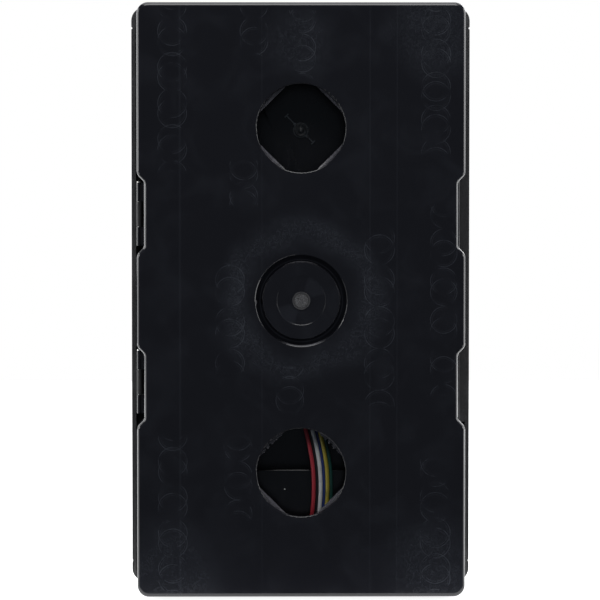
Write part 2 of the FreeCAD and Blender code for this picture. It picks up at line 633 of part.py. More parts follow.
def vent_cap():
    """Turned breather cap at the middle of the upper cup."""
    centre = lens_centre_z(1)
    return turned([(0, CUP_REAR_Y), (5.8, CUP_REAR_Y), (5.8, CUP_REAR_Y + 3.2), (5.2, CUP_REAR_Y + 3.8),
                   (4.4, CUP_REAR_Y + 3.8), (4.0, CUP_REAR_Y + 2.6), (2.8, CUP_REAR_Y + 2.6),
                   (2.4, CUP_REAR_Y + 3.6), (0, CUP_REAR_Y + 3.9)], 0, centre)


def vent_spring():
    """Wire spring whose two arms hook the breather cap down."""
    centre = lens_centre_z(1)
    parts = []
    for arm_deg, length in ((45.0, 18.5), (225.0, 16.0)):
        arm = box(6.1, length, CUP_REAR_Y + 0.6, CUP_REAR_Y + 1.6, -0.5, 0.5)
        nub = box(6.1, 8.4, CUP_REAR_Y + 0.2, CUP_REAR_Y + 2.4, -1.2, 1.2)
        hook = box(length - 1.1, length, CUP_REAR_Y, CUP_REAR_Y + 2.0, -2.2, 2.2)
        piece = fuse([arm, nub, hook])
        piece.rotate(Vector(0, 0, 0), Vector(0, 1, 0), -arm_deg)
        parts.append(piece)
    loop = ring(6.7, 6.0, CUP_REAR_Y + 0.8, CUP_REAR_Y + 1.6, 0, 0)
    spring = fuse(parts + [loop])
    spring.translate(Vector(0, 0, centre))
    return spring


def module_clips(side):
    """Four flat clips that press one cup flange to the door."""
    parts = []
    for x, z, sign_x, sign_z in clip_places(side):
        clip = box(-13.5, 6.0, CUP_FLANGE_REAR_Y, CUP_FLANGE_REAR_Y + 2.4, -6.0, 6.0)
        clip = clip.cut(rod(1.6, CUP_FLANGE_REAR_Y - 1, CUP_FLANGE_REAR_Y + 3, 0, 0))
        upright = [edge for edge in clip.Edges if abs(edge.BoundBox.YLength - 2.4) < 0.01
                   and edge.CenterOfMass.x > 5]
        clip = clip.makeFillet(4.0, upright)
        clip.rotate(Vector(0, 0, 0), Vector(0, 1, 0), -math.degrees(math.atan2(sign_z, sign_x)))
        clip.translate(Vector(x, 0, z))
        trim = rod(95.0, CUP_FLANGE_REAR_Y - 1, CUP_FLANGE_REAR_Y + 3, 0, lens_centre_z(side))
        parts.append(clip.cut(trim))
    return group(parts)


def clip_screws(side):
    """Screws that hold one unit's clips."""
    return group(slotted_screw(x, z, CUP_FLANGE_REAR_Y + 2.4, 3.6, 2.4, 1.6, 8.0, 1)
                 for x, z, _, _ in clip_places(side))


def gland_xs(name):
    """Sideways places of the three wires in a gland, first wire first."""
    return [GLAND_PLACES[name][0] + GLAND_PITCH * step for step in (1, 0, -1)]


def gland_holes(name):
    """Wire holes through a gland and the cup wall under it."""
    return [rod(WIRE_DIAMETER / 2 + GLAND_CLEARANCE, CUP_REAR_Y - CUP_WALL - 1, GLAND_REAR_Y + 1, x,
                GLAND_PLACES[name][1]) for x in gland_xs(name)]


def cable_gland(name):
    """Rubber grommet where three wires enter a cup."""
    x, z = GLAND_PLACES[name]
    gland = turned([(0, CUP_REAR_Y), (GLAND_RADIUS, CUP_REAR_Y), (GLAND_RADIUS, CUP_REAR_Y + 2.6),
                    (GLAND_RADIUS - 1.2, GLAND_REAR_Y), (0, GLAND_REAR_Y)], x, z)
    return cut(gland, gland_holes(name))


# --------------------------------------------------------------------------- driver and terminals

def driver_case():
    """Open tray behind the lower cup, with a shelf for the terminal block."""
    outer = box(-CASE_HALF_WIDTH, CASE_HALF_WIDTH, CASE_FRONT_Y, LID_FRONT_Y, CASE_BOTTOM_Z, CASE_TOP_Z)
    inner = box(-CASE_HALF_WIDTH + CASE_WALL, CASE_HALF_WIDTH - CASE_WALL, CASE_FRONT_Y + CASE_WALL,
                LID_FRONT_Y + 1, CASE_BOTTOM_Z + CASE_WALL, CASE_TOP_Z - CASE_WALL)
    shelf = box(TERMINAL_X - 22, TERMINAL_X + 22, CASE_FRONT_Y, CASE_FRONT_Y + CASE_WALL,
                TERMINAL_BOTTOM_Z - 3, CASE_BOTTOM_Z + 1)
    posts = [rod(4.0, CASE_FRONT_Y + 1, LID_FRONT_Y, x, z) for x, z in lid_screw_places()]
    case = fuse([outer.cut(inner), shelf] + posts)
    return cut(case, [rod(1.4, LID_FRONT_Y - 10, LID_FRONT_Y + 1, x, z) for x, z in lid_screw_places()])


def lid_screw_places():
    """The lid's four corners."""
    return [(sign_x * (CASE_HALF_WIDTH - 5), z) for sign_x in (1, -1)
            for z in (CASE_TOP_Z - 5, CASE_BOTTOM_Z + 5)]


def driver_lid():
    """Lid with a rounded edge and a hole for the status light."""
    lid = box(-CASE_HALF_WIDTH - 0.5, CASE_HALF_WIDTH + 0.5, LID_FRONT_Y, LID_REAR_Y,
              CASE_BOTTOM_Z - 0.5, CASE_TOP_Z + 0.5)
    rear_edges = [edge for edge in lid.Edges if abs(edge.BoundBox.YMin - LID_REAR_Y) < 0.01]
    lid = lid.makeFillet(1.3, rear_edges)
    holes = [rod(1.7, LID_FRONT_Y - 1, LID_REAR_Y + 1, x, z) for x, z in lid_screw_places()]
    holes.append(rod(STATUS_LIGHT_RADIUS, LID_FRONT_Y - 1, LID_REAR_Y + 1, STATUS_LIGHT_X, STATUS_LIGHT_Z))
    return cut(lid, holes)


def lid_screws():
    """Four lid screws."""
    return group(slotted_screw(x, z, LID_REAR_Y, 2.8, 1.8, 1.4, 10.0, 1) for x, z in lid_screw_places())


def status_light():
    """Light pipe through the lid."""
    return rod(STATUS_LIGHT_RADIUS, LID_FRONT_Y - 8, LID_REAR_Y + 0.5, STATUS_LIGHT_X, STATUS_LIGHT_Z)


def driver_board():
    """Circuit board on the tray floor."""
    floor_y = CASE_FRONT_Y + CASE_WALL
    board = box(-CASE_HALF_WIDTH + 2.5, CASE_HALF_WIDTH - 2.5, floor_y, floor_y + BOARD_THICK,
                CASE_BOTTOM_Z + 2.5, CASE_TOP_Z - 2.5)
    return cut(board, [rod(4.2, floor_y - 1, floor_y + 3, x, z) for x, z in lid_screw_places()])


def driver_components():
    """Transformer, chokes and capacitors on the driver board."""
    top_y = CASE_FRONT_Y + CASE_WALL + BOARD_THICK
    middle_z = (CASE_TOP_Z + CASE_BOTTOM_Z) / 2
    parts = [box(-44, -20, top_y, top_y + 11.0, middle_z - 11, middle_z + 11)]
    for x in (-10.0, 1.0):
        parts.append(rod(4.8, top_y, top_y + 11.5, x, middle_z + 8))
    for x in (24.0, 38.0):
        parts.append(rod(6.0, top_y, top_y + 9.0, x, middle_z - 8))
    parts.append(box(-12, 10, top_y, top_y + 5.0, middle_z - 16, middle_z - 8))
    parts.append(box(22, 44, top_y, top_y + 7.0, middle_z + 4, middle_z + 12))
    return group(parts)


def terminal_xs():
    """Sideways places of the six terminals, first wire first."""
    count = len(WIRE_COLOURS)
    return [TERMINAL_X + TERMINAL_PITCH * ((count - 1) / 2 - index) for index in range(count)]


def terminal_block():
    """Six-way block with wire mouths on top and screw wells behind."""
    half = TERMINAL_PITCH * len(WIRE_COLOURS) / 2 + 2
    block = box(TERMINAL_X - half, TERMINAL_X + half, CASE_FRONT_Y + CASE_WALL, TERMINAL_REAR_Y,
                TERMINAL_BOTTOM_Z, TERMINAL_TOP_Z)
    cuts = []
    for x in terminal_xs():
        cuts.append(post(WIRE_DIAMETER / 2 + TERMINAL_CLEARANCE, TERMINAL_TOP_Z - 6, TERMINAL_TOP_Z + 1, x,
                         WIRE_ENTRY_Y))
        cuts.append(rod(2.2, TERMINAL_REAR_Y - TERMINAL_WELL, TERMINAL_REAR_Y + 1, x, TERMINAL_BOTTOM_Z + 6))
    return cut(block, cuts)


def terminal_screws():
    """One clamping screw in each well."""
    well_floor = TERMINAL_REAR_Y - TERMINAL_WELL
    screws = []
    for x in terminal_xs():
        screw = rod(2.1, well_floor, well_floor + 2.6, x, TERMINAL_BOTTOM_Z + 6)
        slot = box(x - 3, x + 3, well_floor + 1.6, well_floor + 3, TERMINAL_BOTTOM_Z + 5.6, TERMINAL_BOTTOM_Z + 6.4)
        screws.append(screw.cut(slot))
    return group(screws)


# --------------------------------------------------------------------------- loom

# The first wire's way behind the lower unit, from below the port upwards.
BUNDLE_ROUTE = [(-9.5, -17.5, -192.0), (-11.3, -14.5, -168.0), (-10.6, -14.0, -147.0),
                (-7.4, -15.0, -128.0), (-2.9, -17.5, -110.0)]
# The first wire's way on up behind the closed knock-out.
RISER_ROUTE = [(2.6, -21.0, -90.0), (7.0, -24.0, -64.0), (9.1, -26.0, -34.0), (9.5, -27.2, 0.0),
               (8.4, -27.0, 34.0), (6.4, -26.4, 60.0)]


def wire_route(index):
    """Hand-laid points of one wire, from its terminal to its gland."""
    shift_x = -WIRE_PITCH * index
    shift_y = LAYER_STEP if index % 2 else 0.0
    terminal_x = terminal_xs()[index]
    route = [(terminal_x, WIRE_ENTRY_Y, TERMINAL_TOP_Z - 5.5), (terminal_x, WIRE_ENTRY_Y + 0.6, TERMINAL_TOP_Z + 8)]
    route += [(x + shift_x, y + shift_y, z) for x, y, z in BUNDLE_ROUTE]
    name = "upper" if index < 3 else "lower"
    gland_z = GLAND_PLACES[name][1]
    end_x = gland_xs(name)[index % 3]
    if name == "upper":
        route += [(x + shift_x, y + shift_y, z) for x, y, z in RISER_ROUTE]
        route.append((end_x, -26.0 + shift_y / 2, gland_z - 16))
    else:
        route.append((end_x, -21.0 + shift_y, gland_z - 13))
    route += [(end_x, GLAND_TURN_Y, gland_z), (end_x, BOARD_REAR_Y, gland_z)]
    return [Vector(*point) for point in route]


def corner_arc(before, corner, after):
    """Tangent arc at a corner of a route: its start, middle, end and radius."""
    into = (corner - before).normalize()
    out = (after - corner).normalize()
    turn = into.getAngle(out)
    shorter = min((corner - before).Length, (after - corner).Length)
    radius = 0.45 * shorter / math.tan(turn / 2)
    start = corner - into * (0.45 * shorter)
    end = corner + out * (0.45 * shorter)
    bisector = (out - into).normalize()
    centre = corner + bisector * (radius / math.cos(turn / 2))
    middle = centre - bisector * radius
    return start, middle, end, radius


def wire(index):
    """One insulated wire: straight runs joined by tangent arcs."""
    points = wire_route(index)
    edges = []
    radii = []
    last = points[0]
    for before, corner, after in zip(points, points[1:], points[2:]):
        start, middle, end, radius = corner_arc(before, corner, after)
        edges.append(Part.LineSegment(last, start).toShape())
        edges.append(Part.Arc(start, middle, end).toShape())
        radii.append(radius)
        last = end
    edges.append(Part.LineSegment(last, points[-1]).toShape())
    path = Part.Wire(edges)
    first_run = (points[1] - points[0]).normalize()
    section = Part.Wire(Part.makeCircle(WIRE_DIAMETER / 2, points[0], first_run))
    tube = path.makePipeShell([section], True, True)
    expected = math.pi * WIRE_DIAMETER ** 2 / 4 * path.Length
    print("wire_" + WIRE_COLOURS[index], "length", round(path.Length, 1), "smallest radius", round(min(radii), 1),
          "volume ratio", round(tube.Volume / expected, 4))
    return tube


def loom_ties():
    """Two straps round the three wires that run up to the upper unit."""
    ties = []
    for first_x, first_y, z in ((9.3, -26.6, -17.0), (8.95, -27.1, 17.0)):
        half = WIRE_DIAMETER / 2 + 0.35
        x_low = first_x - 2 * WIRE_PITCH - half
        x_high = first_x + half
        y_low = first_y + LAYER_STEP - half
        y_high = first_y + half
        outer = box(x_low - 1.0, x_high + 1.0, y_low - 1.0, y_high + 1.0, z - 1.8, z + 1.8)
        inner = box(x_low, x_high, y_low, y_high, z - 3, z + 3)
        head = box(x_high + 0.9, x_high + 4.0, y_low + 1.2, y_high - 1.2, z - 2.2, z + 2.2)
        strap = outer.cut(inner).fuse(head).removeSplitter()
        ties.append(strap)
    return group(ties)


# --------------------------------------------------------------------------- latches

def latch_knob(centre_z):
    """Knob with a finger bar and the shaft behind it."""
    knob_rear = DOOR_FRONT_Y - 0.3
    knob = turned([(0, knob_rear), (KNOB_RADIUS, knob_rear), (KNOB_RADIUS, knob_rear - 2.2),
                   (KNOB_RADIUS - 1.0, knob_rear - 3.2), (0, knob_rear - 3.2)], LATCH_X, centre_z)
    bar = box(LATCH_X - 2.6, LATCH_X + 2.6, knob_rear - 11.0, knob_rear - 3.0, centre_z - 10.0, centre_z + 10.0)
    outer_edges = [edge for edge in bar.Edges if abs(edge.BoundBox.YMax - knob_rear + 11.0) < 0.01]
    bar = bar.makeFillet(1.5, outer_edges)
    shaft = rod(SHAFT_RADIUS, knob_rear - 1, CAM_FRONT_Y, LATCH_X, centre_z)
    nose = rod(CAM_NOSE_RADIUS, CAM_FRONT_Y - 1, CAM_FRONT_Y + CAM_THICK, LATCH_X, centre_z)
    bore = rod(CAM_SCREW_RADIUS + SHAFT_CLEARANCE, CAM_FRONT_Y - 10, CAM_FRONT_Y + CAM_THICK + 1, LATCH_X, centre_z)
    return fuse([knob, bar, shaft, nose]).cut(bore)


def latch_cam(centre_z):
    """Flat cam that points down when released."""
    rear_y = CAM_FRONT_Y + CAM_THICK
    heel = rod(7.0, CAM_FRONT_Y, rear_y, LATCH_X, centre_z)
    arm = box(LATCH_X - CAM_HALF_WIDTH, LATCH_X + CAM_HALF_WIDTH, CAM_FRONT_Y, rear_y, centre_z - CAM_REACH,
              centre_z)
    cam = fuse([heel, arm])
    tip_edges = [edge for edge in cam.Edges if abs(edge.BoundBox.YLength - CAM_THICK) < 0.01
                 and abs(edge.CenterOfMass.z - centre_z + CAM_REACH) < 0.01]
    bore = rod(CAM_NOSE_RADIUS + SHAFT_CLEARANCE, CAM_FRONT_Y - 1, rear_y + 1, LATCH_X, centre_z)
    return cam.makeFillet(2.0, tip_edges).cut(bore)


def cam_screw(centre_z):
    """Screw that holds the cam on its shaft."""
    return slotted_screw(LATCH_X, centre_z, CAM_FRONT_Y + CAM_THICK, 5.0, 2.6, CAM_SCREW_RADIUS, 12.0, 1)


def latch_retainer(centre_z):
    """Ring behind the door boss that keeps the shaft in."""
    return ring(8.0, SHAFT_RADIUS, -83.7, -82.5, LATCH_X, centre_z)


def latch_seal(centre_z):
    """Rubber washer under the knob."""
    return ring(8.1, SHAFT_RADIUS + 0.15, DOOR_FRONT_Y, DOOR_FRONT_Y + 1.2, LATCH_X, centre_z)


def all_nodes():
    """Every node's name and solid."""
    nodes = {"rear_housing": rear_housing(), "front_door": front_door(), "door_seal": door_seal()}
    for name, side in ASPECTS.items():
        pocket_z = side * POCKET_PITCH / 2
        nodes["hinge_pin_" + name] = hinge_pin(pocket_z)
        nodes["visor_" + name] = visor(side)
        nodes["visor_screws_" + name] = visor_screws(side)
        nodes["lens_gasket_" + name] = lens_gasket(side)
        nodes["lens_" + name] = lens(side)
        nodes["symbol_mask_" + name] = symbol_mask(name)
        nodes["diffuser_" + name] = diffuser(side)
        nodes["led_board_" + name] = led_board(side)
        nodes["leds_" + name] = leds(side)
        nodes["module_cup_" + name] = module_cup(name)
        nodes["module_clips_" + name] = module_clips(side)
        nodes["clip_screws_" + name] = clip_screws(side)
        nodes["cable_gland_" + name] = cable_gland(name)
        nodes["latch_knob_" + name] = latch_knob(pocket_z)
        nodes["latch_cam_" + name] = latch_cam(pocket_z)
        nodes["cam_screw_" + name] = cam_screw(pocket_z)
        nodes["latch_retainer_" + name] = latch_retainer(pocket_z)
        nodes["latch_seal_" + name] = latch_seal(pocket_z)
    nodes["vent_cap"] = vent_cap()
    nodes["vent_spring"] = vent_spring()
    nodes["driver_case"] = driver_case()
    nodes["driver_lid"] = driver_lid()
    nodes["lid_screws"] = lid_screws()
    nodes["status_light"] = status_light()
    nodes["driver_board"] = driver_board()
    nodes["driver_components"] = driver_components()
    nodes["terminal_block"] = terminal_block()
    nodes["terminal_screws"] = terminal_screws()
    nodes["loom_ties"] = loom_ties()
    for index, colour in enumerate(WIRE_COLOURS):
        nodes["wire_" + colour] = wire(index)
    return nodes


os.makedirs("parts", exist_ok=True)
for node_name, shape in all_nodes().items():
    solids = shape.Solids
    print(node_name, "solids", len(solids), "valid", shape.isValid(), "volume", round(shape.Volume, 1))
    shape.exportStep(os.path.join("parts", node_name + ".step"))
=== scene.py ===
"""Looks of a two-lamp pedestrian signal head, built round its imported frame.

The frame's axes are +Z up, -Y the lit front and +Y the rear face, in metres.
"""
import json
import logging
import math
import random
from dataclasses import dataclass, field
from enum import Enum
from typing import Any

import bmesh
import bpy
from mathutils import Matrix, Vector


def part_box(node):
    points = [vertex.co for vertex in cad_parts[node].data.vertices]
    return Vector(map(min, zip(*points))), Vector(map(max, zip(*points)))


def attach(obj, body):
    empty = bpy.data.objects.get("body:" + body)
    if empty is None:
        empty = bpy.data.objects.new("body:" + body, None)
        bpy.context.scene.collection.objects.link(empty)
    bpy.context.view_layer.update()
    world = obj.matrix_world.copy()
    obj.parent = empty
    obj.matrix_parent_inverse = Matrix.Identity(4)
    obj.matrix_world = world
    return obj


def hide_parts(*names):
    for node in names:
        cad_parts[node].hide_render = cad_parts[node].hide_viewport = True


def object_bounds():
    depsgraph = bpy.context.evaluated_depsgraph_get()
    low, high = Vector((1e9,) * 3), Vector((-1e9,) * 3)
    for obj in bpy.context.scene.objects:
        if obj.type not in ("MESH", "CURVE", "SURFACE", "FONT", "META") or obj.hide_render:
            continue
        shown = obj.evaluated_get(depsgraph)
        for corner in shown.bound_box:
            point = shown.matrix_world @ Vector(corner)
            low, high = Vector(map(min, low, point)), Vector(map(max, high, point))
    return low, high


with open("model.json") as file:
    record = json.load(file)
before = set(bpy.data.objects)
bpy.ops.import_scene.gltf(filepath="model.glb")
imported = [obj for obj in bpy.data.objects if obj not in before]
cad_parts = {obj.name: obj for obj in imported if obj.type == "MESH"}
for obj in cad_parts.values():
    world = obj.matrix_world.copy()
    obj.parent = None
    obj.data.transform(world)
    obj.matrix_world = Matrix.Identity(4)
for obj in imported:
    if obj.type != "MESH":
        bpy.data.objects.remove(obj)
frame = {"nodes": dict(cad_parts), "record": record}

LOG = logging.getLogger("signal_head")
# Cutter marks on the rear face: centre x, lowest z, highest z, step and radius, in metres.
HAZE_SPOTS = ((-0.118, 0.232, 0.052), (0.112, -0.236, 0.060), (-0.112, -0.238, 0.060), (0.0, 0.225, 0.040))
CUTTER_CHAINS = ((0.112, 0.115, 0.252, 0.012, 0.0125), (0.112, -0.252, -0.120, 0.012, 0.0125),
                 (-0.117, 0.130, 0.252, 0.011, 0.0125), (-0.117, -0.252, -0.140, 0.012, 0.0130),
                 (0.041, 0.215, 0.252, 0.012, 0.0120), (-0.001, 0.195, 0.250, 0.013, 0.0115),
                 (0.050, 0.085, 0.120, 0.010, 0.0120), (0.062, -0.060, 0.030, 0.014, 0.0125),
                 (0.055, -0.190, -0.120, 0.013, 0.0120), (-0.068, -0.090, 0.060, 0.014, 0.0130),
                 (-0.124, -0.080, 0.080, 0.013, 0.0115), (0.010, -0.095, -0.060, 0.012, 0.0120))
CAD_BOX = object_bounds()
MM = 0.001
PORT_HEIGHT = 0.15

Colour = tuple[float, float, float]


class Aspect(Enum):
    """The two optical units of the head."""

    UPPER = "upper"
    LOWER = "lower"


class Body(Enum):
    """The rigid bodies that pieces ride on."""

    HOUSING = "housing"
    DOOR = "door"
    LATCH_UPPER = "latch_upper"
    LATCH_LOWER = "latch_lower"


# --------------------------------------------------------------------------- shader arithmetic


class Number:
    """A number that varies over a surface; arithmetic on it adds Math nodes."""

    def __init__(self, graph: "Graph", socket: bpy.types.NodeSocket) -> None:
        """Wrap one output socket of a graph."""
        self.graph = graph
        self.socket = socket

    def __add__(self, other: "Number | float") -> "Number":
        """Sum."""
        return self.graph.math("ADD", self, other)

    __radd__ = __add__

    def __sub__(self, other: "Number | float") -> "Number":
        """Difference."""
        return self.graph.math("SUBTRACT", self, other)

    def __rsub__(self, other: float) -> "Number":
        """Difference from a plain number."""
        return self.graph.math("SUBTRACT", other, self)

    def __mul__(self, other: "Number | float") -> "Number":
        """Product."""
        return self.graph.math("MULTIPLY", self, other)

    __rmul__ = __mul__

    def __truediv__(self, other: "Number | float") -> "Number":
        """Quotient."""
        return self.graph.math("DIVIDE", self, other)

    def root(self) -> "Number":
        """Square root."""
        return self.graph.math("SQRT", self, 0.0)

    def size(self) -> "Number":
        """Absolute value."""
        return self.graph.math("ABSOLUTE", self, 0.0)

    def cell(self, width: float) -> "Number":
        """Distance from the middle of the repeating cell of this width."""
        fraction = self.graph.math("FRACT", self / width, 0.0)
        return (fraction - 0.5) * width

    def larger(self, other: "Number | float") -> "Number":
        """The larger of two numbers."""
        return self.graph.math("MAXIMUM", self, other)

    def ramp(self, low: float, high: float) -> "Number":
        """Smooth step from 0 at low to 1 at high; high may be the smaller one."""
        node = self.graph.add("ShaderNodeMapRange", {"interpolation_type": "SMOOTHSTEP", "clamp": True},
                              {"Value": self, "From Min": min(low, high), "From Max": max(low, high),
                               "To Min": 0.0 if low < high else 1.0, "To Max": 1.0 if low < high else 0.0})
        return Number(self.graph, node.outputs["Result"])

    def line(self, centre: float, half_width: float) -> "Number":
        """1 on a narrow band round centre, falling smoothly to 0 at half_width."""
        return (self - centre).size().ramp(half_width, 0.0)


class Graph:
    """The node tree of one material."""

    def __init__(self, name: str) -> None:
        """Start an empty material with its Principled shader."""
        self.material = bpy.data.materials.new(name)
        self.material.use_nodes = True
        self.tree = self.material.node_tree
        self.tree.nodes.clear()
        self.shader = self.add("ShaderNodeBsdfPrincipled", {}, {})
        output = self.add("ShaderNodeOutputMaterial", {}, {})
        self.tree.links.new(self.shader.outputs["BSDF"], output.inputs["Surface"])
        self._place: bpy.types.NodeSocket | None = None

    def add(self, kind: str, settings: dict[str, Any], inputs: dict[str | int, Any]) -> bpy.types.Node:
        """Add one node.

        Args:
            kind: The node's type.
            settings: Properties that are set first; "stops" fills a colour ramp.
            inputs: Values or links for its sockets, by name or number.

        Returns:
            The new node.
        """
        node = self.tree.nodes.new(kind)
        for key, value in settings.items():
            if key == "stops":
                elements = node.color_ramp.elements
                for index, (position, colour) in enumerate(value):
                    stop = elements[index] if index < 2 else elements.new(position)
                    stop.position = position
                    stop.color = (*colour, 1.0)
            else:
                setattr(node, key, value)
        for key, value in inputs.items():
            self.feed(node.inputs[key], value)
        return node

    def feed(self, socket: bpy.types.NodeSocket, value: Any) -> None:
        """Link or set one input socket."""
        if isinstance(value, Number):
            self.tree.links.new(value.socket, socket)
        elif isinstance(value, bpy.types.NodeSocket):
            self.tree.links.new(value, socket)
        elif isinstance(value, tuple) and socket.type == "RGBA":
            socket.default_value = (*value[:3], 1.0)
        else:
            socket.default_value = value

    def math(self, operation: str, first: Any, second: Any) -> Number:
        """One Math node."""
        node = self.add("ShaderNodeMath", {"operation": operation}, {0: first, 1: second})
        return Number(self, node.outputs[0])

    def place(self) -> bpy.types.NodeSocket:
        """Object coordinates, which are the frame's metres."""
        if self._place is None:
            self._place = self.add("ShaderNodeTexCoord", {}, {}).outputs["Object"]
        return self._place

    def axes(self) -> tuple[Number, Number, Number]:
        """The three object coordinates."""
        split = self.add("ShaderNodeSeparateXYZ", {}, {"Vector": self.place()})
        return Number(self, split.outputs[0]), Number(self, split.outputs[1]), Number(self, split.outputs[2])

    def noise(self, grain: float, detail: float = 3.0, stretch: Colour = (1.0, 1.0, 1.0),
              twist: float = 0.0) -> Number:
        """Cloudy noise whose blobs are about grain metres across."""
        spot = self.add("ShaderNodeMapping", {}, {"Vector": self.place(), "Scale": stretch})
        node = self.add("ShaderNodeTexNoise", {}, {"Vector": spot.outputs[0], "Scale": 1.0 / grain,
                                                   "Detail": detail, "Distortion": twist})
        return Number(self, node.outputs[0])

    def pits(self, pitch: float, smooth: float = 1.0) -> Number:
        """Rounded cells about pitch metres apart."""
        node = self.add("ShaderNodeTexVoronoi", {"feature": "SMOOTH_F1"},
                        {"Vector": self.place(), "Scale": 1.0 / pitch, "Smoothness": smooth})
        return Number(self, node.outputs["Distance"])

    def mixed(self, factor: Number, first: Any, second: Any) -> bpy.types.NodeSocket:
        """A colour between two, by a factor."""
        node = self.add("ShaderNodeMix", {"data_type": "RGBA", "clamp_factor": True},
                        {"Factor": factor, 6: first, 7: second})
        return node.outputs[2]

    def bump(self, height: Number, depth: float, strength: float = 1.0) -> None:
        """Raise the shader's normal by a height, depth metres for 1."""
        node = self.add("ShaderNodeBump", {}, {"Height": height, "Distance": depth, "Strength": strength})
        self.feed(self.shader.inputs["Normal"], node.outputs["Normal"])

    def set(self, **values: Any) -> None:
        """Set the shader's own sockets; a name's underscores stand for spaces."""
        for key, value in values.items():
            self.feed(self.shader.inputs[key.replace("_", " ")], value)


# --------------------------------------------------------------------------- finishes


@dataclass(frozen=True)
class Finish:
    """A finish with a name, a base colour and a gloss."""

    name: str
    base: Colour
    roughness: float = 0.5

    def dress(self, graph: Graph) -> None:
        """Fill a material's nodes; each finish has its own."""
        raise NotImplementedError

    def material(self) -> bpy.types.Material:
        """The finish's material, made once."""
        if self not in MADE:
            graph = Graph(self.name)
            self.dress(graph)
            MADE[self] = graph.material
        return MADE[self]


def rear_plane(graph: Graph, y: Number) -> Number:
    """1 on the rear face, 0 on the walls and inside."""
    return y.ramp(-0.004, -0.001)


@dataclass(frozen=True)
class PolishedShell(Finish):
    """Glossy black moulding with tool swirls, sink lines and wiped-on haze, with a painted reflection on the
    knock-out cone and painted shade in its groove.
    """

    # Colour of the real haze and cutter marks, and also of the painted reflection on the knock-out cone.
    haze_and_sheen: Colour = (0.036, 0.040, 0.050)
    torn: Colour = (0.085, 0.082, 0.095)

    def swirls(self, graph: Graph, x: Number, z: Number) -> Number:
        """Chains of thin overlapping circles left by the mould cutter."""
        total = None
        for centre_x, low_z, high_z, pitch, radius in CUTTER_CHAINS:
            across = x - centre_x
            half_length = (high_z - low_z) / 2
            inside = (z - (low_z + high_z) / 2).size().ramp(half_length + 0.004, half_length)
            rings = None
            for shift in (0.0, 0.37):
                along = (z + pitch * shift * 2).cell(pitch * 2.6)
                reach = (across * across + along * along).root()
                ring = reach.line(radius, 0.0007) + reach.line(radius * 0.86, 0.0005) * 0.5
                rings = ring if rings is None else rings.larger(ring)
            total = rings * inside if total is None else total.larger(rings * inside)
        return total * graph.noise(0.015, 2.0).ramp(0.38, 0.62)

    def smears(self, graph: Graph, x: Number, z: Number) -> Number:
        """Cloudy haze round the knock-out and in three corners."""
        reach = (x * x + z * z).root()
        wander = (graph.noise(0.045, 2.0) - 0.5) * 0.030
        total = (reach + wander).line(0.060, 0.020) * 0.85
        brush = graph.noise(0.0045, 4.0, (1.0, 1.0, 1.0), 2.4).ramp(0.35, 0.70)
        for centre_x, centre_z, radius in HAZE_SPOTS:
            away_x = x - centre_x
            away_z = z - centre_z
            spot = (away_x * away_x + away_z * away_z).root() + wander
            total = total.larger(spot.ramp(radius, radius * 0.35) * 0.65)
        return total * (brush * 0.7 + 0.3)

    def webs(self, graph: Graph, x: Number, y: Number, z: Number) -> Number:
        """Whitened skin on the crescents that the knock-outs leave in the ports."""
        level = z.size() - PORT_HEIGHT
        reach = (x * x + level * level).root()
        band = reach.ramp(0.0345, 0.0349) * reach.ramp(0.0400, 0.0397)
        ragged = graph.noise(0.0012, 3.0, (1.0, 1.0, 1.0), 1.0).ramp(0.3, 0.7) * 0.6 + 0.4
        return band * y.ramp(-0.0046, -0.0053) * ragged

    def dress(self, graph: Graph) -> None:
        """Black gloss with its marks in colour, gloss and height, and a painted reflection and painted shade
        round the knock-out.
        """
        x, y, z = graph.axes()
        webs = self.webs(graph, x, y, z)
        reach = (x * x + z * z).root()
        # Painted shade in the knock-out's V groove: it is made metallic with no coat so that it looks darker;
        # the ridge at 35.85 mm is mostly left out.
        groove_painted_shade = reach.ramp(0.0337, 0.0340) * reach.ramp(0.0401, 0.0398) * y.ramp(-0.0003, -0.0007)
        groove_painted_shade = groove_painted_shade * (1.0 - reach.line(0.03585, 0.0005) * 0.6)
        # Painted reflection: paler colour in two diagonal quadrants of the knock-out cone, from 8 to 22 mm
        # out.
        reflection_quadrants = (x * z * -1.0 / (reach * reach + 1e-6)).ramp(0.22, 0.34)
        cone_painted_reflection = reflection_quadrants * reach.ramp(0.0218, 0.0215) * reach.ramp(0.0078, 0.0082) * rear_plane(graph, y)
        rear = rear_plane(graph, y)
        swirl = self.swirls(graph, x, z) * rear
        smear = self.smears(graph, x, z) * rear
        sinks = x.line(0.1055, 0.0016)
        for sink_x, half in ((0.0342, 0.0007), (-0.0598, 0.0009), (-0.0833, 0.0008)):
            sinks = sinks + x.line(sink_x, half)
        mottle = graph.noise(0.035, 5.0, twist=0.8)
        marks = (cone_painted_reflection * 0.16 + swirl * 0.52 + smear * 0.50 + sinks * rear * 0.14
                 + mottle.ramp(0.42, 0.75) * 0.12)
        fine = graph.noise(0.0009, 2.0)
        graph.set(Base_Color=graph.mixed(webs, graph.mixed(marks, self.base, self.haze_and_sheen), self.torn),
                  Roughness=marks * 0.30 + self.roughness + fine * 0.03 + webs * 0.25, Specular_IOR_Level=0.5,
                  Metallic=groove_painted_shade * 0.72, Coat_Weight=(1.0 - groove_painted_shade) * 0.25, Coat_Roughness=0.05)
        graph.bump(mottle * 0.5 + sinks * rear * 0.25 + swirl * 0.10 + fine * 0.04, 0.00022, 0.35)


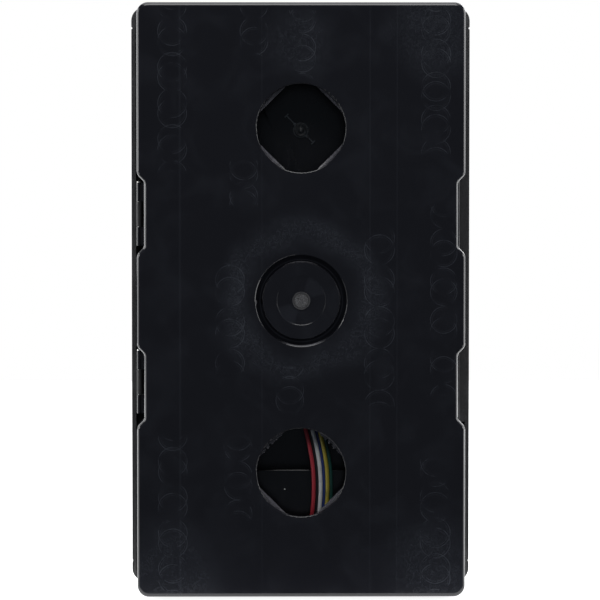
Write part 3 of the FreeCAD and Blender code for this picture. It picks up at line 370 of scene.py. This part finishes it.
@dataclass(frozen=True)
class GrainedPlastic(Finish):
    """Spark-eroded matte moulding with worn, paler high spots."""

    grain: float = 0.0007
    wear: Colour = (0.105, 0.105, 0.108)

    def dress(self, graph: Graph) -> None:
        """Fine pebble, cloudy dust and a few drag marks."""
        pebble = graph.pits(self.grain)
        dust = graph.noise(0.05, 5.0, twist=0.5).ramp(0.45, 0.8)
        drag = graph.noise(0.004, 2.0, (1.0, 1.0, 0.06)).ramp(0.66, 0.74)
        tone = pebble * 0.35 + dust * 0.30 + drag * 0.25
        graph.set(Base_Color=graph.mixed(tone, self.base, self.wear),
                  Roughness=self.roughness + dust * 0.12 - drag * 0.10, Specular_IOR_Level=0.42)
        graph.bump(pebble, 0.00030, 0.65)


@dataclass(frozen=True)
class SatinMoulding(Finish):
    """Smooth satin moulding with flow marks."""

    flow: Colour = (0.03, 0.03, 0.032)
    mottle: float = 0.014

    def dress(self, graph: Graph) -> None:
        """Flow marks in colour and gloss over a faint orange peel."""
        flow = graph.noise(self.mottle, 4.0, (1.0, 1.0, 0.4), 1.2)
        peel = graph.noise(0.0018, 2.0)
        graph.set(Base_Color=graph.mixed(flow.ramp(0.4, 0.8), self.base, self.flow),
                  Roughness=self.roughness + flow * 0.12, Specular_IOR_Level=0.5)
        graph.bump(peel + flow * 0.6, 0.00015, 0.35)


@dataclass(frozen=True)
class Rubber(Finish):
    """Dull seal rubber with bloom."""

    def dress(self, graph: Graph) -> None:
        """Talc bloom and a fine skin."""
        bloom = graph.noise(0.008, 5.0).ramp(0.45, 0.8)
        skin = graph.noise(0.0006, 2.0)
        graph.set(Base_Color=graph.mixed(bloom, self.base, (0.05, 0.05, 0.05)),
                  Roughness=self.roughness + bloom * 0.2)
        graph.bump(skin, 0.0001, 0.4)


@dataclass(frozen=True)
class PlatedMetal(Finish):
    """Zinc or nickel plate with turning lines and dull patches."""

    tarnish: Colour = (0.30, 0.29, 0.27)

    def dress(self, graph: Graph) -> None:
        """Bright metal, dulled in patches."""
        patch = graph.noise(0.003, 4.0).ramp(0.45, 0.72)
        lines = graph.noise(0.0006, 2.0, (1.0, 0.15, 1.0))
        graph.set(Base_Color=graph.mixed(patch, self.base, self.tarnish), Metallic=1.0,
                  Roughness=self.roughness + patch * 0.2 + lines * 0.08)
        graph.bump(lines, 0.00006, 0.4)


@dataclass(frozen=True)
class ClearPlastic(Finish):
    """Clear lens plastic with cloudy dust."""

    def dress(self, graph: Graph) -> None:
        """See-through gloss whose dust hides a little of what is behind."""
        dust = graph.noise(0.02, 5.0, twist=0.6).ramp(0.45, 0.85)
        scratch = graph.noise(0.0016, 2.0, (1.0, 1.0, 0.08)).ramp(0.68, 0.74)
        graph.set(Base_Color=graph.mixed(dust, self.base, (0.24, 0.24, 0.23)),
                  Roughness=self.roughness + dust * 0.12,
                  Alpha=dust * 0.10 + scratch * 0.05 + 0.16, IOR=1.58, Coat_Weight=0.6, Coat_Roughness=0.03)
        graph.bump(graph.noise(0.012, 2.0), 0.00008, 0.25)


@dataclass(frozen=True)
class MaskFilm(Finish):
    """Screen-printed black film."""

    def dress(self, graph: Graph) -> None:
        """Even black ink with pinholes of sheen."""
        ink = graph.noise(0.0012, 3.0)
        cloud = graph.noise(0.03, 4.0).ramp(0.4, 0.8)
        graph.set(Base_Color=graph.mixed(cloud, self.base, (0.02, 0.02, 0.021)),
                  Roughness=self.roughness + ink * 0.15)
        graph.bump(ink, 0.00004, 0.4)


@dataclass(frozen=True)
class SpreadingDisc(Finish):
    """Tinted spreading disc: tiny lenses in rows, with a painted glow over each lamp behind them."""

    centre_z: float = 0.0
    glow: Colour = (0.8, 0.2, 0.1)
    lens_pitch: float = 0.0042
    lamp_pitch: float = 0.021

    def dress(self, graph: Graph) -> None:
        """Pillow lenses in height; painted lamp glow and painted rim shade in colour."""
        x, _, z = graph.axes()
        level = z - self.centre_z
        across = x.cell(self.lens_pitch)
        along = level.cell(self.lens_pitch)
        pillow = (across * across + along * along) / (self.lens_pitch * self.lens_pitch * 0.5)
        row_height = self.lamp_pitch * math.sqrt(3)
        # Painted glow: a paler spot over each lamp behind the disc, which is not lit.
        painted_lamp_glow = None
        for shift_x, shift_z in ((0.5, 0.5), (0.0, 0.0)):
            lamp_x = (x + self.lamp_pitch * shift_x).cell(self.lamp_pitch)
            lamp_z = (level + row_height * shift_z).cell(row_height)
            spot = (lamp_x * lamp_x + lamp_z * lamp_z).root().ramp(0.0062, 0.0012)
            painted_lamp_glow = spot if painted_lamp_glow is None else painted_lamp_glow.larger(spot)
        reach = (x * x + level * level).root()
        # Painted light in the colour: the lamp glow, and painted shade darker towards the rim.
        tone = painted_lamp_glow * 0.75 + reach.ramp(0.0, 0.09) * -0.25 + 0.25
        graph.set(Base_Color=graph.mixed(tone, self.base, self.glow), Roughness=self.roughness, IOR=1.5,
                  Coat_Weight=0.4, Coat_Roughness=0.12)
        graph.bump(1.0 - pillow, 0.0006, 0.8)


@dataclass(frozen=True)
class GateBreak(Finish):
    """Whitened break inside a dark ring of painted shade and a smooth lip."""

    white: Colour = (0.13, 0.13, 0.135)
    lip: Colour = (0.035, 0.035, 0.038)

    def dress(self, graph: Graph) -> None:
        """White flakes in the middle, a dark ring of painted shade, then the lip."""
        x, _, z = graph.axes()
        reach = (x * x + z * z).root() + (graph.noise(0.0012, 2.0) - 0.5) * 0.0012
        flakes = graph.noise(0.0010, 4.0, twist=2.0)
        core = reach.ramp(0.0062, 0.0056) * flakes.ramp(0.40, 0.62)
        # The dark base out to 6.9 mm is painted shade for the gap ring round the break.
        tone = graph.mixed(reach.ramp(0.0069, 0.0071), self.base, self.lip)
        graph.set(Base_Color=graph.mixed(core, tone, self.white), Roughness=self.roughness + core * 0.15)
        graph.bump(flakes, 0.0006, 0.9)


@dataclass(frozen=True)
class LightPipe(Finish):
    """Clear rod with a pale dot of painted glow on its core; no lamp lights it."""

    # Colour of the painted glow on the core.
    core: Colour = (0.62, 0.64, 0.60)
    glow_radius: float = 0.75 * MM
    centre_x: float = 14.5 * MM
    centre_z: float = -167.0 * MM

    def dress(self, graph: Graph) -> None:
        """A pale dot of painted glow on the core, in a dark wall."""
        x, _, z = graph.axes()
        across = x - self.centre_x
        along = z - self.centre_z
        reach = (across * across + along * along).root()
        speck = graph.noise(0.0004, 2.0)
        core = reach.ramp(self.glow_radius, self.glow_radius * 0.6)
        graph.set(Base_Color=graph.mixed(core, self.base, self.core),
                  Roughness=self.roughness + speck * 0.1)
        graph.bump(speck, 0.00003, 0.3)


@dataclass(frozen=True)
class LampNose(Finish):
    """Tinted clear nose of a light source."""

    def dress(self, graph: Graph) -> None:
        """Coloured gloss with a paler core."""
        core = graph.noise(0.0015, 2.0)
        graph.set(Base_Color=graph.mixed(core.ramp(0.4, 0.7), self.base, (0.9, 0.85, 0.8)),
                  Roughness=self.roughness, Coat_Weight=0.8)
        graph.bump(core, 0.00005, 0.3)


@dataclass(frozen=True)
class CircuitBoard(Finish):
    """Solder mask with tracks and pads."""

    def dress(self, graph: Graph) -> None:
        """Tracks as paler ribbons, pads as tinned dots."""
        x, _, z = graph.axes()
        bend = graph.noise(0.02, 0.0) * 0.004
        ribbons = (x + bend).cell(0.0034).line(0.0, 0.0007)
        tracks = ribbons * (z + bend).cell(0.019).size().ramp(0.0095, 0.0085)
        pad_x = x.cell(0.0068)
        pad_z = z.cell(0.0095)
        pads = (pad_x * pad_x + pad_z * pad_z).root().ramp(0.0011, 0.0008)
        colour = graph.mixed(tracks, self.base, (0.04, 0.22, 0.09))
        graph.set(Base_Color=graph.mixed(pads, colour, (0.55, 0.55, 0.5)), Metallic=pads * 0.9,
                  Roughness=self.roughness + graph.noise(0.006, 3.0) * 0.1)
        graph.bump(tracks + pads, 0.00006, 0.6)


@dataclass(frozen=True)
class WireJacket(Finish):
    """Extruded wire insulation."""

    def dress(self, graph: Graph) -> None:
        """Drawn lines along the wire and grubby finger marks."""
        grime = graph.noise(0.010, 4.0).ramp(0.5, 0.85)
        drawn = graph.noise(0.0006, 2.0, (1.0, 1.0, 0.05))
        dull = tuple(channel * 0.55 + 0.006 for channel in self.base)
        graph.set(Base_Color=graph.mixed(grime, self.base, dull), Roughness=self.roughness + grime * 0.15,
                  Specular_IOR_Level=0.5)
        graph.bump(drawn, 0.00005, 0.4)


HOUSING_GLOSS = PolishedShell("housing_gloss", (0.0058, 0.0057, 0.0080), 0.13)
DOOR_GRAIN = GrainedPlastic("door_grain", (0.020, 0.020, 0.021), 0.54, 0.0011)
VISOR_GRAIN = GrainedPlastic("visor_grain", (0.013, 0.013, 0.014), 0.62, 0.0012)
KNOB_GRAIN = GrainedPlastic("knob_grain", (0.022, 0.022, 0.024), 0.48, 0.0005)
SEAL_RUBBER = Rubber("seal_rubber", (0.016, 0.016, 0.016), 0.55)
BRIGHT_PLATE = PlatedMetal("bright_plate", (0.72, 0.72, 0.70), 0.22)
ZINC_PLATE = PlatedMetal("zinc_plate", (0.60, 0.60, 0.55), 0.34, (0.36, 0.34, 0.28))
LENS_CLEAR = ClearPlastic("lens_clear", (0.055, 0.056, 0.060), 0.05)
MASK_INK = MaskFilm("mask_ink", (0.008, 0.008, 0.009), 0.42)
WEB_BREAK = SatinMoulding("web_break", (0.06, 0.058, 0.068), 0.24, (0.20, 0.20, 0.22), 0.0018)
# Its dark base is painted shade for the gap round the break.
GATE_BREAK = GateBreak("gate_break", (0.003, 0.003, 0.004), 0.28)
CUP_SATIN = SatinMoulding("cup_satin", (0.0030, 0.0030, 0.0044), 0.20, (0.0060, 0.0060, 0.0085))
# The cap's own dark grey, lightened together with its flow marks as painted sheen.
CAP_GLOSS = SatinMoulding("cap_gloss", (0.022, 0.023, 0.025), 0.12, (0.085, 0.090, 0.092), 0.0022)
# The vent pin is coloured pale grey as a painted glint.
PIN_PAINTED_GLINT = SatinMoulding("vent_pin_painted_glint", (0.26, 0.27, 0.26), 0.22, (0.42, 0.44, 0.42), 0.001)
SPRING_WIRE = PlatedMetal("spring_wire", (0.15, 0.155, 0.155), 0.22, (0.05, 0.05, 0.05))
CASE_GLOSS = SatinMoulding("case_gloss", (0.0032, 0.0031, 0.0042), 0.17, (0.0060, 0.0058, 0.0075))
COMPONENT = SatinMoulding("component_body", (0.05, 0.06, 0.10), 0.35, (0.12, 0.12, 0.16), 0.006)
TERMINAL = SatinMoulding("terminal_body", (0.42, 0.43, 0.42), 0.40, (0.55, 0.55, 0.52), 0.005)
NYLON = SatinMoulding("tie_nylon", (0.62, 0.60, 0.54), 0.34, (0.72, 0.70, 0.64), 0.003)
# Pale dot of painted glow on a rod that is no lamp.
LIGHT_PIPE = LightPipe("light_pipe", (0.012, 0.012, 0.013), 0.18)
BOARD = CircuitBoard("solder_mask", (0.012, 0.11, 0.045), 0.30)
LAMP_FINISHES = {Aspect.UPPER: LampNose("lamp_red", (0.55, 0.03, 0.02), 0.12),
                 Aspect.LOWER: LampNose("lamp_green", (0.03, 0.40, 0.20), 0.12)}
# Each wire's own colour, darkened as painted shade for the dim lower port.
WIRE_COLOURS_IN_PAINTED_SHADE: dict[str, Colour] = {"red": (0.34, 0.026, 0.038), "black": (0.010, 0.010, 0.012),
                                   "white": (0.50, 0.51, 0.51), "blue": (0.018, 0.034, 0.15),
                                   "yellow": (0.28, 0.23, 0.025), "green": (0.008, 0.052, 0.040)}
WIRE_FINISHES = {name: WireJacket("jacket_" + name, colour, 0.34) for name, colour in WIRE_COLOURS_IN_PAINTED_SHADE.items()}


MADE: dict[Finish, bpy.types.Material] = {}


# --------------------------------------------------------------------------- mesh work


def new_piece(name: str, work: bmesh.types.BMesh, body: Body, finish: Finish, slot: str) -> bpy.types.Object:
    """Turn a finished bmesh into a riding piece.

    Args:
        name: The piece's name.
        work: Its mesh, in the frame's metres; it is freed.
        body: The body it rides on.
        finish: Its finish.
        slot: The record's material slot; not used.

    Returns:
        The new object, at the origin.
    """
    mesh = bpy.data.meshes.new(name)
    work.to_mesh(mesh)
    work.free()
    piece = bpy.data.objects.new(name, mesh)
    bpy.context.scene.collection.objects.link(piece)
    mesh.materials.append(finish.material())
    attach(piece, body.value)
    LOG.info("%s: %d faces on %s", name, len(mesh.polygons), body.value)
    return piece


def shade(piece: bpy.types.Object, sharp_degrees: float) -> None:
    """Smooth shading that keeps corners sharper than an angle."""
    piece.data.shade_smooth()
    piece.data.set_sharp_from_angle(angle=math.radians(sharp_degrees))
    weighted = piece.modifiers.new("even_normals", "WEIGHTED_NORMAL")
    weighted.keep_sharp = True
    weighted.weight = 95


def welded_copy(node: str) -> bmesh.types.BMesh:
    """A node's mesh with its loose triangles joined."""
    work = bmesh.new()
    work.from_mesh(frame["nodes"][node].data)
    bmesh.ops.remove_doubles(work, verts=work.verts, dist=8e-6)
    bmesh.ops.dissolve_limit(work, angle_limit=math.radians(0.25), verts=work.verts, edges=work.edges)
    work.normal_update()
    return work


def slot_of(node: str) -> str:
    """The record's slot of a node."""
    return next(part["material_slot"] for part in frame["record"]["subparts"] if part["node"] == node)


def polished(node: str, body: Body, finish: Finish, sharp_degrees: float = 32.0) -> bpy.types.Object:
    """A smoothly shaded stand-in for a node of the same shape."""
    piece = new_piece(node + "_shell", welded_copy(node), body, finish, slot_of(node))
    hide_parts(node)
    shade(piece, sharp_degrees)
    return piece


def paint(node: str, finish: Finish) -> None:
    """Give a carried-over node its finish."""
    mesh = frame["nodes"][node].data
    for index in range(len(mesh.materials)):
        mesh.materials[index] = finish.material()
    if not mesh.materials:
        mesh.materials.append(finish.material())


def centre_of(node: str) -> Vector:
    """The middle of a node's box."""
    low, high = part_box(node)
    return (low + high) / 2


def spun(profile: list[tuple[float, float]], centre: Vector, steps: int) -> bmesh.types.BMesh:
    """Spin a (radius, y) outline about an axis along Y.

    Args:
        profile: Outline points in metres, radius first.
        centre: A point on the axis.
        steps: How many stretches the turn has.

    Returns:
        The closed mesh with its normals outwards.
    """
    work = bmesh.new()
    verts = [work.verts.new((centre.x + radius, y, centre.z)) for radius, y in profile]
    edges = [work.edges.new(pair) for pair in zip(verts, verts[1:])]
    bmesh.ops.spin(work, geom=verts + edges, cent=(centre.x, 0, centre.z), axis=(0, 1, 0), angle=math.tau,
                   steps=steps, use_merge=True)
    bmesh.ops.remove_doubles(work, verts=work.verts, dist=1e-6)
    bmesh.ops.recalc_face_normals(work, faces=work.faces)
    return work


# --------------------------------------------------------------------------- sub-assemblies


@dataclass
class RearHousing:
    """The glossy rear tray, its torn port lugs and its hinge pins."""

    gate_radius: float = 7.8 * MM
    gate_depth: float = 0.7 * MM
    gate_rings: int = 9
    gate_sides: int = 48
    bead_radius: float = 0.22 * MM
    lug_chord: float = 35.2 * MM
    seed: int = 7

    def build(self) -> None:
        """Make the tray, the gate and the torn teeth."""
        self.tray()
        self.gate_vestige()
        self.torn_teeth()
        self.web_beads()
        for aspect in Aspect:
            polished("hinge_pin_" + aspect.value, Body.HOUSING, BRIGHT_PLATE)

    def tray(self) -> None:
        """The tray, opened where the rough gate goes."""
        work = welded_copy("rear_housing")
        top = [face for face in work.faces
               if abs(face.calc_center_median().y) < 1e-5 and face.normal.y > 0.9
               and max(math.hypot(vert.co.x, vert.co.z) for vert in face.verts) < self.gate_radius * 1.02]
        bmesh.ops.delete(work, geom=top, context="FACES")
        piece = new_piece("rear_housing_shell", work, Body.HOUSING, HOUSING_GLOSS, slot_of("rear_housing"))
        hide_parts("rear_housing")
        shade(piece, 30.0)

    def gate_vestige(self) -> None:
        """The torn end of the moulding gate: a smooth lip round a rough break."""
        draw = random.Random(self.seed)
        work = bmesh.new()
        bmesh.ops.create_circle(work, cap_ends=True, cap_tris=False, segments=self.gate_sides,
                                radius=self.gate_radius)
        for ring in range(self.gate_rings):
            step = self.gate_radius / (self.gate_rings + 1)
            middle = [face for face in work.faces if len(face.verts) == self.gate_sides]
            bmesh.ops.inset_region(work, faces=middle, thickness=step, depth=0.0)
        middle = [face for face in work.faces if len(face.verts) == self.gate_sides]
        bmesh.ops.poke(work, faces=middle)
        for vert in work.verts:
            reach = vert.co.length / self.gate_radius
            if reach < 0.78:
                vert.co.z = -self.gate_depth * draw.uniform(0.15, 1.0)
            elif reach < 0.9:
                vert.co.z = -self.gate_depth * 0.3
        spin = Matrix.Rotation(math.radians(-90.0), 4, "X")
        bmesh.ops.transform(work, matrix=spin, verts=work.verts)
        bmesh.ops.solidify(work, geom=work.faces[:], thickness=-0.2 * MM)
        bmesh.ops.recalc_face_normals(work, faces=work.faces)
        high = max(vert.co.y for vert in work.verts)
        bmesh.ops.translate(work, verts=work.verts, vec=(0, -high, 0))
        piece = new_piece("gate_vestige", work, Body.HOUSING, GATE_BREAK, "housing_gloss_black")
        shade(piece, 60.0)

    def web_beads(self) -> None:
        """Two thin torn beads along every crescent of both ports."""
        work = bmesh.new()
        for port_z in (PORT_HEIGHT, -PORT_HEIGHT):
            for quarter in range(4):
                for radius, half_degrees in ((37.2 * MM, 15.0), (38.2 * MM, 20.0)):
                    start = math.radians(45.0 + 90.0 * quarter - half_degrees)
                    ring = bmesh.ops.create_circle(work, cap_ends=True, segments=8, radius=self.bead_radius)
                    place = (Matrix.Translation((0, -5.35 * MM, port_z)) @ Matrix.Rotation(-start, 4, "Y")
                             @ Matrix.Translation((radius, 0, 0)))
                    bmesh.ops.transform(work, matrix=place, verts=ring["verts"])
                    faces = [face for face in work.faces if set(face.verts) == set(ring["verts"])]
                    edges = list({edge for face in faces for edge in face.edges})
                    bmesh.ops.spin(work, geom=ring["verts"] + edges + faces, cent=(0, 0, port_z),
                                   axis=(0, -1, 0), angle=math.radians(2 * half_degrees), steps=18)
        bmesh.ops.recalc_face_normals(work, faces=work.faces)
        piece = new_piece("web_beads", work, Body.HOUSING, WEB_BREAK, "housing_gloss_black")
        shade(piece, 50.0)

    def torn_teeth(self) -> None:
        """Ragged scraps of web left on the two upper lugs of the lower port."""
        draw = random.Random(self.seed + 1)
        mounts = frame["record"]["mounts"]
        port_z = next(mount["pos_m"][2] for mount in mounts if mount["name"] == "lower_port")
        for lug, middle_degrees in (("left", 45.0), ("right", 135.0)):
            work = bmesh.new()
            for step in range(-2, 3):
                along = step * 5.2 * MM + draw.uniform(-1.0, 1.0) * MM
                tooth = bmesh.ops.create_cone(work, cap_ends=True, segments=5,
                                              radius1=draw.uniform(0.8, 1.5) * MM, radius2=0.3 * MM,
                                              depth=draw.uniform(1.4, 2.4) * MM)
                bmesh.ops.rotate(work, verts=tooth["verts"], cent=(0, 0, 0),
                                 matrix=Matrix.Rotation(math.radians(-90 + draw.uniform(-20, 20)), 3, "Y"))
                bmesh.ops.translate(work, verts=tooth["verts"],
                                    vec=(self.lug_chord + 0.2 * MM, draw.uniform(-7.2, -6.2) * MM, along))
            turn = Matrix.Rotation(math.radians(-middle_degrees), 4, "Y")
            bmesh.ops.transform(work, matrix=Matrix.Translation((0, 0, port_z)) @ turn, verts=work.verts)
            bmesh.ops.bevel(work, geom=work.edges[:], offset=0.15 * MM, segments=1, profile=0.5,
                            affect="EDGES", material=-1)
            bmesh.ops.recalc_face_normals(work, faces=work.faces)
            new_piece("torn_teeth_" + lug, work, Body.HOUSING, WEB_BREAK, "housing_gloss_black")



@dataclass
class FrontDoor:
    """The door moulding and its seal."""

    def build(self) -> None:
        """Make the door and its seal."""
        polished("front_door", Body.DOOR, DOOR_GRAIN)
        polished("door_seal", Body.DOOR, SEAL_RUBBER)


@dataclass
class OpticalUnit:
    """One lamp: hood, lens, mask, spreading disc, lamps and cup."""

    aspect: Aspect
    disc: SpreadingDisc
    lens_rim: float = 97.5 * MM
    lens_wall: float = 2.5 * MM
    rib_pitch: float = 5.8 * MM
    rib_depth: float = 0.7 * MM
    steps: int = 128

    def node(self, stem: str) -> str:
        """This unit's node of a kind."""
        return stem + "_" + self.aspect.value

    def build(self) -> None:
        """Make every piece of the unit."""
        for stem, finish in (("visor", VISOR_GRAIN), ("visor_screws", BRIGHT_PLATE),
                             ("lens_gasket", SEAL_RUBBER), ("symbol_mask", MASK_INK),
                             ("module_cup", CUP_SATIN), ("module_clips", ZINC_PLATE),
                             ("clip_screws", BRIGHT_PLATE),
                             ("cable_gland", SEAL_RUBBER)):
            polished(self.node(stem), Body.DOOR, finish)
        paint(self.node("diffuser"), self.disc)
        paint(self.node("led_board"), BOARD)
        polished(self.node("leds"), Body.DOOR, LAMP_FINISHES[self.aspect], 50.0)
        self.ribbed_lens()

    def ribbed_lens(self) -> None:
        """A clear dome, smooth outside and ribbed in rings inside."""
        low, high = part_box(self.node("lens"))
        centre = centre_of(self.node("lens"))
        front_rim = high.y - self.lens_wall
        dome = 94.4 * MM
        sag = front_rim - low.y
        sphere = (dome * dome + sag * sag) / (2 * sag)

        def dome_y(radius: float) -> float:
            """Height of the outer dome at a radius."""
            return low.y + sphere - math.sqrt(sphere * sphere - radius * radius)

        outer = [(0.0, low.y)]
        outer += [(dome * index / 24, dome_y(dome * index / 24)) for index in range(1, 25)]
        outer += [(self.lens_rim - 0.3 * MM, front_rim), (self.lens_rim, front_rim + 0.3 * MM),
                  (self.lens_rim, high.y)]
        inner = []
        inner_reach = dome - self.lens_wall
        ribs = int(inner_reach / self.rib_pitch)
        for index in range(ribs, 0, -1):
            radius = inner_reach * index / ribs
            base = min(dome_y(radius) + self.lens_wall, high.y)
            inner += [(radius, base), (radius - 0.4 * MM, base - self.rib_depth)]
        inner.append((0.0, low.y + self.lens_wall - self.rib_depth * 0.5))
        work = spun(outer + inner, centre, self.steps)
        piece = new_piece("lens_dome_" + self.aspect.value, work, Body.DOOR, LENS_CLEAR, "clear_lens")
        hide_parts(self.node("lens"))
        shade(piece, 28.0)


@dataclass
class Latch:
    """One quarter-turn latch."""

    aspect: Aspect

    def build(self) -> None:
        """Dress the knob, cam, ring, screw and washer."""
        body = Body.LATCH_UPPER if self.aspect is Aspect.UPPER else Body.LATCH_LOWER
        name = self.aspect.value
        polished("latch_knob_" + name, body, KNOB_GRAIN)
        polished("latch_cam_" + name, body, ZINC_PLATE)
        polished("latch_retainer_" + name, body, BRIGHT_PLATE)
        polished("cam_screw_" + name, body, BRIGHT_PLATE)
        polished("latch_seal_" + name, Body.DOOR, SEAL_RUBBER)


@dataclass
class Driver:
    """The driver case, its board, the terminal block and the breather cap."""

    pin_radius: float = 2.0 * MM
    pin_rise: float = 1.2 * MM

    def build(self) -> None:
        """Dress the driver's pieces."""
        for node, finish in (("driver_case", CASE_GLOSS), ("driver_lid", CASE_GLOSS),
                             ("lid_screws", BRIGHT_PLATE), ("terminal_block", TERMINAL),
                             ("terminal_screws", BRIGHT_PLATE), ("vent_cap", CAP_GLOSS),
                             ("vent_spring", SPRING_WIRE), ("status_light", LIGHT_PIPE)):
            polished(node, Body.DOOR, finish)
        self.vent_pin()
        paint("driver_board", BOARD)
        paint("driver_components", COMPONENT)

    def vent_pin(self) -> None:
        """Domed pin in the middle of the breather cap, coloured pale grey as a painted glint."""
        low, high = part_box("vent_cap")
        middle = (low + high) / 2
        steps = 8
        turns = [math.radians(90 * step / steps) for step in range(steps + 1)]
        arc = [(self.pin_radius * math.sin(turn),
                high.y - self.pin_rise + self.pin_rise * math.cos(turn) - 0.02 * MM) for turn in turns]
        foot_y = high.y - 2 * self.pin_rise
        work = spun(arc + [(self.pin_radius, foot_y), (0.0, foot_y)], middle, 32)
        piece = new_piece("vent_pin", work, Body.DOOR, PIN_PAINTED_GLINT, slot_of("vent_spring"))
        shade(piece, 50.0)


@dataclass
class Loom:
    """The six wires and their ties."""

    colours: list[str] = field(default_factory=lambda: list(WIRE_FINISHES))

    def build(self) -> None:
        """Dress the wires and ties."""
        for colour in self.colours:
            polished("wire_" + colour, Body.DOOR, WIRE_FINISHES[colour], 60.0)
        polished("loom_ties", Body.DOOR, NYLON)


# --------------------------------------------------------------------------- studio


@dataclass
class SoftBox:
    """One square soft light aimed at the head."""

    name: str
    place: tuple[float, float, float]
    side: float
    watts: float
    aim: tuple[float, float, float] = (0.0, -0.05, 0.0)

    def build(self) -> None:
        """Add the light."""
        data = bpy.data.lights.new(self.name, "AREA")
        data.shape = "SQUARE"
        data.size = self.side
        data.energy = self.watts
        lamp = bpy.data.objects.new(self.name, data)
        bpy.context.scene.collection.objects.link(lamp)
        toward = Vector(self.aim) - Vector(self.place)
        turn = toward.to_track_quat("-Z", "Y").to_matrix().to_4x4()
        lamp.matrix_world = Matrix.Translation(self.place) @ turn


STUDIO_LIGHTS = (SoftBox("top_rear", (0.06, 1.4, 1.9), 1.5, 30.0),
                 SoftBox("left_rear", (1.9, 0.45, 0.45), 0.8, 5.0),
                 SoftBox("right_rear", (-1.9, 0.45, 0.45), 0.8, 4.5),
                 SoftBox("left_wall", (1.7, -0.30, 0.1), 2.2, 30.0),
                 SoftBox("right_wall", (-1.7, -0.30, 0.1), 2.2, 40.0),
                 SoftBox("ceiling", (0.0, -0.30, 1.9), 2.2, 26.0),
                 SoftBox("front_key", (-1.5, -2.2, 1.2), 1.1, 22.0),
                 SoftBox("front_fill", (1.7, -2.0, 0.5), 1.1, 9.0))


@dataclass
class Studio:
    """Camera, lights, floor and surroundings."""

    camera_place: tuple[float, float, float] = (0.022, 2.4, 0.084)
    camera_aim: tuple[float, float, float] = (0.0011, 0.0, 0.0006)
    sensor_width: float = 36.0
    view_width: float = 0.522
    floor_half_width: float = 3.0
    floor_front: float = -3.0
    floor_rear: float = 0.03
    floor_drop: float = 1.5 * MM
    felt_strength: float = 0.105
    felt_colour: Colour = (0.74, 0.84, 1.0)

    def build(self) -> None:
        """Set up the studio."""
        self.camera()
        self.floor()
        self.surroundings()
        for box in STUDIO_LIGHTS:
            box.build()

    def camera(self) -> None:
        """The camera, square on to the rear face and a little above it."""
        data = bpy.data.cameras.new("view")
        place = Vector(self.camera_place)
        toward = Vector(self.camera_aim) - place
        data.sensor_width = self.sensor_width
        data.lens = self.sensor_width * toward.length / self.view_width
        camera = bpy.data.objects.new("view", data)
        bpy.context.scene.collection.objects.link(camera)
        camera.matrix_world = Matrix.Translation(place) @ toward.to_track_quat("-Z", "Y").to_matrix().to_4x4()
        bpy.context.scene.camera = camera

    def floor(self) -> None:
        """A plain pale floor just under the head."""
        work = bmesh.new()
        bmesh.ops.create_grid(work, x_segments=1, y_segments=1, size=0.5)
        bmesh.ops.scale(work, verts=work.verts,
                        vec=(2 * self.floor_half_width, self.floor_rear - self.floor_front, 1.0))
        middle_y = (self.floor_front + self.floor_rear) / 2
        bmesh.ops.translate(work, verts=work.verts, vec=(0, middle_y, CAD_BOX[0][2] - self.floor_drop))
        mesh = bpy.data.meshes.new("floor")
        work.to_mesh(mesh)
        work.free()
        floor = bpy.data.objects.new("floor", mesh)
        bpy.context.scene.collection.objects.link(floor)
        graph = Graph("floor_pale")
        graph.set(Base_Color=(0.86, 0.86, 0.86), Roughness=0.9, Emission_Color=(1.0, 1.0, 1.0),
                  Emission_Strength=0.9, Specular_IOR_Level=0.1)
        mesh.materials.append(graph.material)

    def world_node(self, tree: Any, kind: str, inputs: dict[Any, Any]) -> Any:
        """Add one node to the world.

        Args:
            tree: The world's node tree.
            kind: The node's type.
            inputs: Each input's constant, or the output that feeds it.

        Returns:
            The new node.
        """
        node = tree.nodes.new(kind)
        for key, value in inputs.items():
            if isinstance(value, bpy.types.NodeSocket):
                tree.links.new(value, node.inputs[key])
            else:
                node.inputs[key].default_value = value
        return node

    def surroundings(self) -> None:
        """White to look at, dim as a light, so that the black gloss stays black."""
        world = bpy.data.worlds.new("studio")
        bpy.context.scene.world = world
        world.use_nodes = True
        tree = world.node_tree
        tree.nodes.clear()
        path = self.world_node(tree, "ShaderNodeLightPath", {})
        seen = self.world_node(tree, "ShaderNodeBackground", {"Strength": 1.0, "Color": (1.0, 1.0, 1.0, 1.0)})
        felt = self.world_node(tree, "ShaderNodeBackground",
                               {"Strength": self.felt_strength, "Color": (*self.felt_colour, 1.0)})
        mix = self.world_node(tree, "ShaderNodeMixShader",
                              {"Fac": path.outputs["Is Camera Ray"], 1: felt.outputs[0], 2: seen.outputs[0]})
        self.world_node(tree, "ShaderNodeOutputWorld", {"Surface": mix.outputs[0]})
        bpy.context.scene.view_settings.view_transform = "Standard"


def unit_discs() -> dict[Aspect, SpreadingDisc]:
    """The tinted disc of each unit, centred on its own lens."""
    upper_z = centre_of("lens_upper").z
    lower_z = centre_of("lens_lower").z
    return {Aspect.UPPER: SpreadingDisc("disc_red", (0.30, 0.030, 0.022), 0.30, upper_z, (0.78, 0.16, 0.10)),
            Aspect.LOWER: SpreadingDisc("disc_green", (0.020, 0.20, 0.11), 0.30, lower_z, (0.14, 0.68, 0.42))}


def main() -> None:
    """Build the studio and every sub-assembly."""
    logging.basicConfig(level=logging.INFO, format="%(name)s %(message)s")
    Studio().build()
    RearHousing().build()
    FrontDoor().build()
    discs = unit_discs()
    for aspect in Aspect:
        OpticalUnit(aspect, discs[aspect]).build()
        Latch(aspect).build()
    Driver().build()
    Loom().build()
    bpy.context.view_layer.update()


if __name__ == "__main__":
    main()
